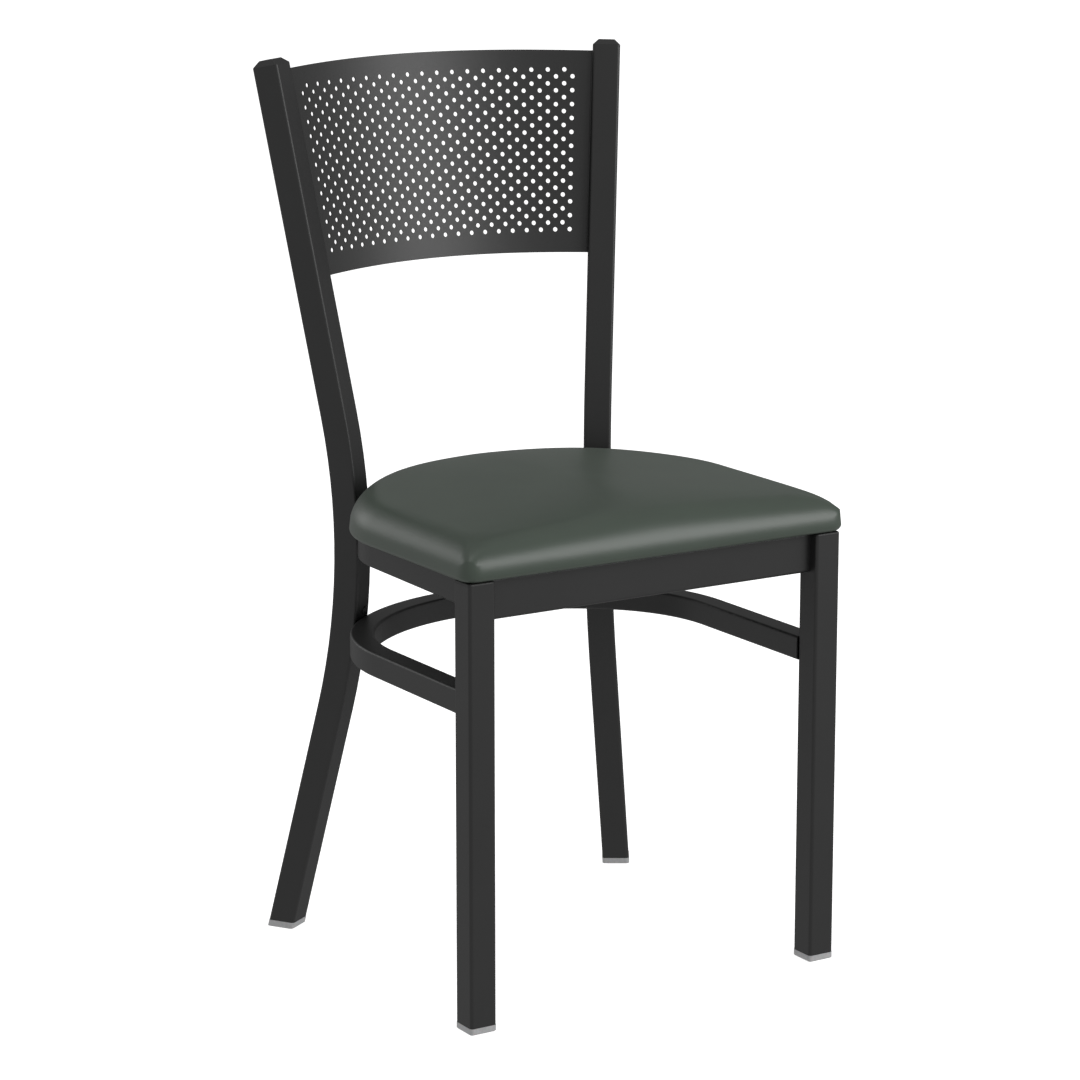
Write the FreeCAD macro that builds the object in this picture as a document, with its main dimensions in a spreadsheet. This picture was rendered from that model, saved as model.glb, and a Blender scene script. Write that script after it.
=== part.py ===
import FreeCAD, Part
import math
import os
import Sketcher
from FreeCAD import Matrix, Placement, Rotation, Vector

# Dining chair: welded steel tube frame, perforated back panel and a padded seat.
# Frame of the part: X to the sitter's left-hand side when seen from the front, Y from the
# front of the chair to its back, Z up, origin on the floor under the middle of the chair.
# Every length is in millimetres and every angle in degrees.

os.makedirs("parts", exist_ok=True)
doc = FreeCAD.newDocument("DiningChair")
sheet = doc.addObject("Spreadsheet::Sheet", "Sizes")

SIZES = [
    # where the chair stands about its origin
    ("front_to_origin", 211.5, "origin behind the front face of the front legs"),
    # square tube of the legs and posts
    ("leg_side", 27.0, "outer side of the leg and post tube"),
    ("leg_corner", 3.0, "outer corner radius of that tube"),
    ("leg_wall", 1.5, "wall of the leg and post tube"),
    ("tube_fit", 0.2, "clearance of every plug inside its tube, each side"),
    ("weld_gap", 0.1, "gap left at a weld line"),
    ("ring_gap", 0.3, "gap left where a bent ring meets a post"),
    # front legs and apron
    ("leg_spacing", 374.8, "between the front legs, centre to centre"),
    ("seat_frame_height", 416.7, "top of the front legs, apron and seat band"),
    ("leg_plug_head", 3.0, "visible head of the plug in the top of a front leg"),
    ("leg_plug_round", 2.0, "rounding of that head"),
    ("plug_depth", 14.0, "how far every plug reaches into its tube"),
    ("rail_height", 36.0, "height of the seat band"),
    ("apron_setback", 9.9, "apron front behind the front of the legs"),
    ("apron_height", 38.0, "height of the apron"),
    ("apron_depth", 15.0, "apron tube, front to back"),
    ("rail_corner", 3.0, "outer corner radius of apron and seat band"),
    ("rail_wall", 1.5, "wall of apron, seat band and stretcher"),
    # seat band
    ("band_depth", 18.0, "seat band tube, across"),
    ("band_taper", 1.6, "inward lean of the band's sides towards the back"),
    ("band_corner_share", 0.529, "outer bend radius of the band's corners over its half width"),
    ("band_arc_share", 1.179, "outer radius of the band's back arc over its half width"),
    # stretcher ring
    ("ring_inset", 5.4, "stretcher inside the outer side of the front legs"),
    ("ring_side", 23.0, "side of the stretcher's square tube"),
    ("ring_round", 2.5, "outer corner radius of the stretcher's tube"),
    ("ring_height", 302.5, "height of the stretcher's middle"),
    ("ring_taper", 0.0, "inward lean of the stretcher's sides towards the back"),
    ("ring_corner_share", 0.808, "outer bend radius of the stretcher's corners over its half width"),
    ("ring_arc_share", 1.095, "outer radius of the stretcher's back arc over its half width"),
    # rear posts: two straight runs and one bend between them
    ("back_height", 842.0, "top of the rear posts, caps included"),
    ("bend_height", 365.0, "height where the two runs of a post would meet"),
    ("bend_inset", 58.6, "that meeting point inside the front leg's centre"),
    ("bend_setback", 308.9, "that meeting point behind the front of the legs"),
    ("foot_spread", 64.0, "sideways run of a post below the meeting point"),
    ("foot_setback", 56.3, "backward run of a post below the meeting point"),
    ("top_spread", 58.6, "sideways run of a post above the meeting point"),
    ("top_setback", 71.8, "backward run of a post above the meeting point"),
    ("bend_radius", 690.0, "radius of the post's bend on its centre line"),
    ("toe_in", 32.0, "turn of the post's square section about the vertical"),
    # caps and glides
    ("cap_height", 6.0, "visible height of a post cap"),
    ("cap_bevel", 5.5, "bevel round the top of a post cap"),
    ("glide_height", 6.0, "visible height of a foot glide"),
    ("glide_lip", 0.3, "how far a glide stands out round its tube"),
    ("glide_bevel", 0.8, "bevel round the bottom of a front glide"),
    # back panel
    ("panel_radius", 354.8, "hollow of the panel's front face"),
    ("panel_sheet", 1.5, "thickness of the panel's sheet"),
    ("panel_lean", 11.3, "backward lean of the panel"),
    ("panel_height", 735.0, "height of the panel's datum line"),
    ("panel_setback", 404.1, "panel's front face at the datum, behind the legs"),
    ("panel_rise", 102.85, "top edge above the datum, at the middle"),
    ("panel_drop", 96.6, "bottom edge below the datum, at the middle"),
    ("edge_crown", 1220.0, "radius of the panel's top and bottom edges"),
    # perforation
    ("hole_diameter", 4.4, "perforation"),
    ("hole_rows", 24, "rows of holes"),
    ("hole_columns", 39, "columns of the staggered grid"),
    ("row_pitch", 6.84, "between two rows"),
    ("first_row_rise", 82.15, "top row above the datum, at the middle"),
    ("row_crown", 1490.0, "radius of the rows"),
    ("grid_half_width", 145.9, "half width of the grid at the datum"),
    ("grid_flare", 0.123, "half width gained for each millimetre of height"),
    # vent plugs
    ("vent_head", 8.0, "vent plug's head"),
    ("vent_dome", 2.2, "vent plug's dome"),
    ("vent_stem", 5.0, "vent plug's stem"),
    ("vent_fit", 0.15, "clearance round the stem"),
    ("vent_rise", 6.5, "vent plug's middle above the stretcher"),
    ("vent_inset", 4.0, "vent plug from the middle of the post, inwards"),
    # cushion
    ("seat_gap", 0.3, "clearance under the cushion and between its layers"),
    ("cover_thickness", 1.2, "vinyl cover"),
    ("board_thickness", 12.0, "seat board"),
    ("board_inset", 3.4, "room left round the board for the foam pulled over its edge"),
    ("dust_thickness", 0.6, "dust cover"),
    ("hem_width", 60.0, "cover turned in under the board"),
    ("seat_overhang", 5.2, "cushion beyond the outer side of the front legs"),
    ("seat_front", 4.1, "cushion in front of the legs"),
    ("seat_depth", 348.0, "cushion, front to back"),
    ("seat_rise", 50.0, "top of the crown above the seat frame"),
    ("seat_crown", 1300.0, "radius of the crown"),
    ("seat_front_corner", 18.0, "front corners of the cushion in plan"),
    ("hem_front_corner", 12.0, "front corners of the hem's inner edge"),
    ("seat_corner_share", 0.568, "radius of the cushion's rear corners over its half width"),
    ("seat_arc_share", 1.065, "radius of the cushion's back edge over its half width"),
    ("seat_shoulder", 11.0, "rounding between the side and the crown"),
    # staples
    ("staple_width", 10.0, "staple's crown"),
    ("staple_wire", 1.0, "staple's wire"),
    ("staple_leg", 6.0, "staple's legs"),
    ("staple_line", 56.0, "staples inside the cushion's outline"),
    ("staple_pitch", 46.0, "between staples along a side"),
    # brackets and screws
    ("bracket_width", 30.0, "bracket along the band"),
    ("bracket_reach", 32.0, "bracket's flange, away from the band"),
    ("bracket_drop", 20.0, "bracket's welded leg"),
    ("bracket_sheet", 3.0, "bracket's steel"),
    ("bracket_front", 85.0, "front brackets behind the front of the legs"),
    ("bracket_rear", 190.0, "rear brackets behind the front of the legs"),
    ("bracket_hole", 6.0, "hole in the flange"),
    ("screw_reach", 20.0, "hole from the welded leg's outer face"),
    ("screw_shank", 4.8, "screw's shank"),
    ("screw_length", 13.0, "screw below its head"),
    ("screw_head", 10.0, "screw's head"),
    ("screw_head_height", 3.2, "height of the screw's head"),
    ("screw_socket", 3.0, "square socket in the screw's head"),
    ("socket_depth", 2.0, "depth of that socket"),
    ("pilot_fit", 0.1, "clearance of the pilot hole, each side"),
]

SIZE = {}
for number, (alias, value, meaning) in enumerate(SIZES, start=1):
    sheet.set("A%d" % number, meaning)
    sheet.set("B%d" % number, str(value))
    sheet.setAlias("B%d" % number, alias)
    SIZE[alias] = float(value)


class Formula:
    """A length or angle together with the sheet expression that gives it."""

    def __init__(self, value, text):
        self.value = float(value)
        self.text = text

    def __add__(self, other):
        other = formula(other)
        return Formula(self.value + other.value, "(%s + %s)" % (self.text, other.text))

    def __sub__(self, other):
        other = formula(other)
        return Formula(self.value - other.value, "(%s - %s)" % (self.text, other.text))

    def __mul__(self, factor):
        return Formula(self.value * factor, "(%s * %s)" % (self.text, factor))

    def __truediv__(self, factor):
        return Formula(self.value / factor, "(%s / %s)" % (self.text, factor))


def formula(number):
    if isinstance(number, Formula):
        return number
    return Formula(number, repr(float(number)))


def dim(alias):
    """A driving dimension as a formula."""
    return Formula(SIZE[alias], "Sizes." + alias)


def size(alias):
    """A driving dimension as a plain number."""
    return SIZE[alias]


def derive(alias, value, meaning):
    """Add a value worked out from the driving dimensions to the sheet."""
    row = len(SIZE) + 1
    sheet.set("A%d" % row, meaning)
    sheet.set("B%d" % row, repr(float(value)))
    sheet.setAlias("B%d" % row, alias)
    SIZE[alias] = float(value)


FRONT = -size("front_to_origin")
SIDES = (("left", -1), ("right", 1))
UP = Vector(0, 0, 1)
FINISHED = {}


def finish(name, item):
    """Record the object that becomes one piece of the chair."""
    item.Label = name
    FINISHED[name] = item


# ---------------------------------------------------------------- sketch and body helpers

def new_body(name):
    body = doc.addObject("PartDesign::Body", name)
    body.Label = name
    return body


def origin_plane(body, role):
    for feature in body.Origin.OriginFeatures:
        if feature.Role == role:
            return feature
    raise ValueError("no plane " + role)


def new_sketch(body, name, role="XY_Plane", offset=None):
    sketch = body.newObject("Sketcher::SketchObject", name)
    sketch.AttachmentSupport = [(origin_plane(body, role), "")]
    sketch.MapMode = "FlatFace"
    if offset is not None:
        sketch.AttachmentOffset = offset
    return sketch


def raise_sketch(sketch, height):
    """Lift a sketch off its plane by a formula."""
    sketch.AttachmentOffset = Placement(Vector(0, 0, height.value), sketch.AttachmentOffset.Rotation)
    sketch.setExpression("AttachmentOffset.Base.z", height.text)


def bind(sketch, kind, arguments, value, name):
    """Add a dimension to a sketch and tie it to the sheet."""
    value = formula(value)
    number = math.radians(value.value) if kind == "Angle" else value.value
    index = sketch.addConstraint(Sketcher.Constraint(kind, *arguments, number))
    sketch.renameConstraint(index, name)
    text = value.text + " * 1 deg" if kind == "Angle" else value.text
    sketch.setExpression("Constraints." + name, text)


def arc(centre, radius, start, end):
    return Part.ArcOfCircle(Part.Circle(centre, UP, radius), start, end)


def chain(sketch, pairs):
    """Join geometry end to start, tangent, for each (geometry, next geometry) pair."""
    for first, second in pairs:
        sketch.addConstraint(Sketcher.Constraint("Tangent", first, 2, second, 1))


def rounded_rectangle(sketch, tag, width, height, radius, across=0.0, up=0.0):
    """Rounded rectangle about the point (across, up)."""
    width, height, radius = formula(width), formula(height), formula(radius)
    across, up = formula(across), formula(up)
    right = across.value + width.value / 2
    left = right - width.value
    high = up.value + height.value / 2
    low = high - height.value
    r = radius.value
    first = sketch.GeometryCount
    sketch.addGeometry(Part.LineSegment(Vector(left + r, low, 0), Vector(right - r, low, 0)))
    sketch.addGeometry(Part.LineSegment(Vector(right, low + r, 0), Vector(right, high - r, 0)))
    sketch.addGeometry(Part.LineSegment(Vector(right - r, high, 0), Vector(left + r, high, 0)))
    sketch.addGeometry(Part.LineSegment(Vector(left, high - r, 0), Vector(left, low + r, 0)))
    corners = ((right - r, low + r), (right - r, high - r), (left + r, high - r), (left + r, low + r))
    for number, (x, y) in enumerate(corners):
        start = (number - 1) * math.pi / 2
        sketch.addGeometry(arc(Vector(x, y, 0), r, start, start + math.pi / 2))
    for number in range(4):
        chain(sketch, ((first + number, first + 4 + number),
                       (first + 4 + number, first + (number + 1) % 4)))
        upright = "Vertical" if number % 2 else "Horizontal"
        sketch.addConstraint(Sketcher.Constraint(upright, first + number))
    for number in range(1, 4):
        sketch.addConstraint(Sketcher.Constraint("Equal", first + 4, first + 4 + number))
    bind(sketch, "Radius", (first + 4,), radius, tag + "_radius")
    bind(sketch, "DistanceX", (first + 6, 3, first + 5, 3), width - radius * 2, tag + "_width")
    bind(sketch, "DistanceY", (first + 4, 3, first + 5, 3), height - radius * 2, tag + "_height")
    bind(sketch, "DistanceX", (-1, 1, first + 5, 3), across + width / 2 - radius, tag + "_across")
    bind(sketch, "DistanceY", (-1, 1, first + 5, 3), up + height / 2 - radius, tag + "_up")


def tube_profile(sketch, width, height, radius, wall, across=0.0):
    """Outer and inner outline of a rectangular tube."""
    rounded_rectangle(sketch, "outer", width, height, radius, across)
    rounded_rectangle(sketch, "inner", width - wall * 2, height - wall * 2, radius - wall, across)


def circle_at(sketch, tag, diameter, across=0.0, up=0.0):
    across, up = formula(across), formula(up)
    index = sketch.addGeometry(Part.Circle(Vector(across.value, up.value, 0), UP, diameter.value / 2))
    bind(sketch, "Diameter", (index,), diameter, tag + "_diameter")
    for kind, value, name in (("DistanceX", across, "_across"), ("DistanceY", up, "_up")):
        if value.value < 0:
            bind(sketch, kind, (index, 3, -1, 1), value * -1, tag + name)
        else:
            bind(sketch, kind, (-1, 1, index, 3), value, tag + name)


def pad(body, name, sketch, length, reverse=False, middle=False):
    feature = body.newObject("PartDesign::Pad", name)
    feature.Profile = sketch
    length = formula(length)
    feature.Length = length.value
    feature.setExpression("Length", length.text)
    feature.Reversed = reverse
    feature.Midplane = middle
    return feature


def pocket(body, name, sketch, length=None, reverse=False, middle=False):
    """Pocket of a given depth, or through everything when no depth is given."""
    feature = body.newObject("PartDesign::Pocket", name)
    feature.Profile = sketch
    if length is None:
        feature.Type = "ThroughAll"
    else:
        feature.Length = length.value
        feature.setExpression("Length", length.text)
    feature.Reversed = reverse
    feature.Midplane = middle
    return feature


def sweep(body, name, profile, spine):
    feature = body.newObject("PartDesign::AdditivePipe", name)
    feature.Profile = profile
    feature.Spine = spine
    return feature


def edges_where(shape, test):
    return ["Edge%d" % (n + 1) for n, edge in enumerate(shape.Edges) if test(edge)]


def dress(body, kind, name, base, test, amount):
    """Fillet or chamfer the edges of a feature that pass a test."""
    doc.recompute()
    feature = body.newObject("PartDesign::" + kind, name)
    feature.Base = (base, edges_where(base.Shape, test))
    setting = "Radius" if kind == "Fillet" else "Size"
    feature.setExpression(setting, amount.text)
    return feature


def at_height(height):
    """Test for edges lying wholly at a height in their body's own frame."""
    def test(edge):
        box = edge.BoundBox
        return abs(box.ZMin - height) < 0.01 and abs(box.ZMax - height) < 0.01
    return test


LEG_SIDE = dim("leg_side")
LEG_INSIDE = dim("leg_side") - dim("leg_wall") * 2
PLUG_SIDE = LEG_INSIDE - dim("tube_fit") * 2
PLUG_ROUND = dim("leg_corner") - dim("leg_wall")


# ---------------------------------------------------------------- rear post's centre line

BEND = Vector(size("leg_spacing") / 2 - size("bend_inset"), FRONT + size("bend_setback"),
              size("bend_height"))
FOOT = Vector(BEND.x + size("foot_spread"), BEND.y + size("foot_setback"), 0)
TOP = Vector(BEND.x + size("top_spread"), BEND.y + size("top_setback"), size("back_height"))
LOWER = (BEND - FOOT).normalize()
UPPER = (TOP - BEND).normalize()
TURN = LOWER.getAngle(UPPER)
BEND_SIDE = (UPPER - LOWER * LOWER.dot(UPPER)).normalize()
BEND_AXIS = LOWER.cross(BEND_SIDE)
TANGENT = size("bend_radius") * math.tan(TURN / 2)
ACROSS = Vector(math.cos(math.radians(size("toe_in"))), -math.sin(math.radians(size("toe_in"))), 0)
REARWARD = LOWER.cross(ACROSS).normalize()
SECTION_TURN = math.atan2(REARWARD.cross(LOWER).dot(BEND_AXIS), REARWARD.cross(LOWER).dot(BEND_SIDE))

derive("lower_run", BEND.distanceToPoint(FOOT) - TANGENT, "straight run of a post below its bend")
derive("upper_run", TOP.distanceToPoint(BEND) - TANGENT - size("cap_height"), "straight run above it")
derive("post_turn", math.degrees(TURN), "angle of a post's bend")


def post_at(height):
    """Centre, direction, sideways and rearward axes of the right post at a height."""
    low = BEND - LOWER * TANGENT
    high = BEND + UPPER * TANGENT
    if height <= low.z:
        point, along = FOOT + LOWER * ((height - FOOT.z) / LOWER.z), LOWER
    elif height >= high.z:
        point, along = BEND + UPPER * ((height - BEND.z) / UPPER.z), UPPER
    else:
        radius = size("bend_radius")
        centre = low + BEND_SIDE * radius
        first, last = 0.0, TURN
        for _ in range(50):
            angle = (first + last) / 2
            point = centre - BEND_SIDE * (radius * math.cos(angle)) + LOWER * (radius * math.sin(angle))
            if point.z < height:
                first = angle
            else:
                last = angle
        along = LOWER * math.cos(angle) + BEND_SIDE * math.sin(angle)
    plain = BEND_AXIS.cross(along)
    sideways = plain * math.cos(SECTION_TURN) + BEND_AXIS * math.sin(SECTION_TURN)
    return point, along, sideways, along.cross(sideways)


def mirrored(vector, hand):
    return Vector(vector.x * hand, vector.y, vector.z)


def frame(origin, side, along, hand=1):
    """Placement with its Z along one direction and its X beside it, for either hand."""
    side, along = mirrored(side, hand), mirrored(along, hand)
    return Placement(mirrored(origin, hand), Rotation(side, along.cross(side), along, "ZXY"))


def turned(offset, hand=1):
    """Sketch offset that turns the post's section in its own plane."""
    return Placement(offset, Rotation(UP, math.degrees(SECTION_TURN) * hand))


# ---------------------------------------------------------------- bent rings

class Ring:
    """U-shaped tube: two sides, two corners and a back arc, seen from above."""

    def __init__(self, start, half_width, taper, corner, back_arc, low, high):
        self.start = start
        self.half_width = half_width
        self.lean = math.radians(taper)
        self.corner = corner
        self.back_arc = back_arc
        self.low = low
        self.high = high
        self.side_run = 0.0
        self.reach_posts()

    def points(self, inset=0.0):
        """Side's end, corner's centre and back arc's centre for the outline moved inwards."""
        along = Vector(-math.sin(self.lean), math.cos(self.lean), 0)
        inwards = Vector(-math.cos(self.lean), -math.sin(self.lean), 0)
        begin = Vector(self.half_width, self.start, 0)
        end = begin + along * self.side_run
        corner = end + inwards * self.corner
        drop = math.sqrt((self.back_arc - self.corner) ** 2 - corner.x ** 2)
        return begin + inwards * inset, end + inwards * inset, corner, Vector(0, corner.y - drop, 0)

    def gap_to(self, point):
        """Distance from the outer outline to a point behind it."""
        corner, back = self.points()[2:]
        flat = Vector(point.x, point.y, 0)
        junction = math.atan2(corner.y - back.y, corner.x - back.x)
        if math.atan2(flat.y - back.y, flat.x - back.x) > junction:
            return flat.distanceToPoint(back) - self.back_arc
        return flat.distanceToPoint(corner) - self.corner

    def reach_posts(self):
        """Lengthen the sides until the ring meets the front faces of the rear posts."""
        flat = size("leg_side") / 2 - size("leg_corner")
        contacts = []
        for step in range(5):
            height = self.low + (self.high - self.low) * step / 4
            point, _, sideways, rearward = post_at(height)
            face = point - rearward * (size("leg_side") / 2)
            contacts += [face + sideways * (flat * part) for part in (-1, -0.5, 0, 0.5, 1)]
        short, long = 0.0, size("bend_setback") * 1.5
        for _ in range(50):
            self.side_run = (short + long) / 2
            if min(self.gap_to(point) for point in contacts) > size("ring_gap"):
                short = self.side_run
            else:
                long = self.side_run


BAND_HALF = (size("leg_spacing") - size("leg_side")) / 2
RING_HALF = (size("leg_spacing") + size("leg_side")) / 2 - size("ring_inset")
derive("band_end_gap", size("weld_gap") + size("band_depth") * math.sin(math.radians(size("band_taper"))),
       "gap that keeps the band's slanted ends off the apron")
derive("band_corner", BAND_HALF * size("band_corner_share"), "outer bend radius of the band's corners")
derive("band_arc", BAND_HALF * size("band_arc_share"), "outer radius of the band's back arc")
derive("ring_width", RING_HALF * 2, "width of the stretcher over its sides")
derive("ring_corner", RING_HALF * size("ring_corner_share"), "outer bend radius of the stretcher's corners")
derive("ring_arc", RING_HALF * size("ring_arc_share"), "outer radius of the stretcher's back arc")
derive("vent_height", size("ring_height") + size("ring_side") / 2 + size("vent_rise"),
       "height of the vent plugs")
BAND_START = dim("apron_setback") + dim("apron_depth") + dim("band_end_gap")
band_ring = Ring(FRONT + BAND_START.value, (size("leg_spacing") - size("leg_side")) / 2,
                 size("band_taper"), size("band_corner"), size("band_arc"),
                 size("seat_frame_height") - size("rail_height") + size("rail_corner"),
                 size("seat_frame_height") - size("rail_corner"))
foot_ring = Ring(FRONT + size("leg_side"), size("ring_width") / 2,
                 size("ring_taper"), size("ring_corner"), size("ring_arc"),
                 size("ring_height") - size("ring_side") / 2 + size("ring_round"),
                 size("ring_height") + size("ring_side") / 2 - size("ring_round"))
derive("band_run", band_ring.side_run, "straight side of the seat band")
derive("ring_run", foot_ring.side_run, "straight side of the stretcher")


def ring_path(sketch, ring, half_width, taper, corner, back_arc, run):
    """Centre line of a ring, in a frame whose X axis passes through its two ends."""
    inset = ring.half_width - half_width.value
    begin, end, corner_centre, back_centre = ring.points(inset)
    shift = Vector(0, -ring.start, 0)
    begin = Vector(begin.x, 0, 0)
    end, corner_centre, back_centre = end + shift, corner_centre + shift, back_centre + shift
    junction = math.atan2(corner_centre.y - back_centre.y, corner_centre.x - back_centre.x)

    def left(vector):
        return mirrored(vector, -1)

    sketch.addGeometry(Part.LineSegment(begin, end))
    sketch.addGeometry(arc(corner_centre, corner.value, ring.lean, junction))
    sketch.addGeometry(arc(back_centre, back_arc.value, junction, math.pi - junction))
    sketch.addGeometry(arc(left(corner_centre), corner.value, math.pi - junction, math.pi - ring.lean))
    sketch.addGeometry(Part.LineSegment(left(end), left(begin)))
    chain(sketch, ((0, 1), (1, 2), (2, 3), (3, 4)))
    sketch.addConstraint(Sketcher.Constraint("PointOnObject", 0, 1, -1))
    sketch.addConstraint(Sketcher.Constraint("Symmetric", 0, 1, 4, 2, -2))
    sketch.addConstraint(Sketcher.Constraint("Symmetric", 0, 2, 4, 1, -2))
    sketch.addConstraint(Sketcher.Constraint("Equal", 1, 3))
    bind(sketch, "DistanceX", (-1, 1, 0, 1), half_width, "half_width")
    bind(sketch, "Distance", (0,), run, "side_run")
    bind(sketch, "Radius", (1,), corner, "corner")
    bind(sketch, "Radius", (2,), back_arc, "back_arc")
    bind(sketch, "Angle", (-1, 0), formula(90) + taper, "direction")


def make_ring(name, ring, half_width, taper, corner, back_arc, run, width, height, radius, position):
    body = new_body(name)
    path = new_sketch(body, name + "_path")
    ring_path(path, ring, half_width, taper, corner, back_arc, run)
    profile = new_sketch(body, name + "_profile", "XZ_Plane")
    tube_profile(profile, width, height, radius, dim("rail_wall"), half_width)
    sweep(body, name + "_tube", profile, path)
    body.Placement.Base = position
    finish(name, body)


HALF_BAND = dim("band_depth") / 2
HALF_RING = dim("ring_side") / 2
make_ring("seat_frame_band", band_ring, (dim("leg_spacing") - dim("leg_side")) / 2 - HALF_BAND,
          dim("band_taper"), dim("band_corner") - HALF_BAND, dim("band_arc") - HALF_BAND,
          dim("band_run"), dim("band_depth"), dim("rail_height"), dim("rail_corner"),
          Vector(0, band_ring.start, size("seat_frame_height") - size("rail_height") / 2))
make_ring("stretcher_ring", foot_ring, dim("ring_width") / 2 - HALF_RING,
          dim("ring_taper"), dim("ring_corner") - HALF_RING, dim("ring_arc") - HALF_RING,
          dim("ring_run"), dim("ring_side"), dim("ring_side"), dim("ring_round"),
          Vector(0, foot_ring.start, size("ring_height")))


# ---------------------------------------------------------------- front legs and apron

LEG_Y = FRONT + size("leg_side") / 2

for side, hand in SIDES:
    leg_x = hand * size("leg_spacing") / 2

    name = "front_leg_" + side
    body = new_body(name)
    sketch = new_sketch(body, name + "_profile")
    tube_profile(sketch, LEG_SIDE, LEG_SIDE, dim("leg_corner"), dim("leg_wall"))
    pad(body, name + "_tube", sketch, dim("seat_frame_height") - dim("leg_plug_head") - dim("glide_height"))
    body.Placement.Base = Vector(leg_x, LEG_Y, size("glide_height"))
    finish(name, body)

    name = "front_leg_plug_" + side
    body = new_body(name)
    sketch = new_sketch(body, name + "_head_outline")
    rounded_rectangle(sketch, "head", LEG_SIDE, LEG_SIDE, dim("leg_corner"))
    head = pad(body, name + "_head", sketch, dim("leg_plug_head"))
    dress(body, "Fillet", name + "_rounding", head, at_height(size("leg_plug_head")), dim("leg_plug_round"))
    sketch = new_sketch(body, name + "_plug_outline")
    rounded_rectangle(sketch, "plug", PLUG_SIDE, PLUG_SIDE, PLUG_ROUND)
    pad(body, name + "_plug", sketch, dim("plug_depth"), reverse=True)
    body.Placement.Base = Vector(leg_x, LEG_Y, size("seat_frame_height") - size("leg_plug_head"))
    finish(name, body)

    name = "foot_glide_front_" + side
    body = new_body(name)
    sketch = new_sketch(body, name + "_foot_outline")
    lip = dim("glide_lip")
    rounded_rectangle(sketch, "foot", LEG_SIDE + lip * 2, LEG_SIDE + lip * 2, dim("leg_corner") + lip)
    foot = pad(body, name + "_foot", sketch, dim("glide_height"))
    dress(body, "Chamfer", name + "_bevel", foot, at_height(0), dim("glide_bevel"))
    sketch = new_sketch(body, name + "_plug_outline")
    raise_sketch(sketch, dim("glide_height"))
    rounded_rectangle(sketch, "plug", PLUG_SIDE, PLUG_SIDE, PLUG_ROUND)
    pad(body, name + "_plug", sketch, dim("plug_depth"))
    body.Placement.Base = Vector(leg_x, LEG_Y, 0)
    finish(name, body)

body = new_body("front_apron")
sketch = new_sketch(body, "front_apron_profile", "YZ_Plane")
tube_profile(sketch, dim("apron_depth"), dim("apron_height"), dim("rail_corner"), dim("rail_wall"))
pad(body, "front_apron_tube", sketch, dim("leg_spacing") - dim("leg_side"), middle=True)
body.Placement.Base = Vector(0, FRONT + size("apron_setback") + size("apron_depth") / 2,
                             size("seat_frame_height") - size("apron_height") / 2)
finish("front_apron", body)


# ---------------------------------------------------------------- rear posts, caps, glides and vents

vent_point, vent_along, vent_side, vent_rear = post_at(size("vent_height"))
VENT = vent_point - vent_rear * (size("leg_side") / 2) - vent_side * size("vent_inset")

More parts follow.
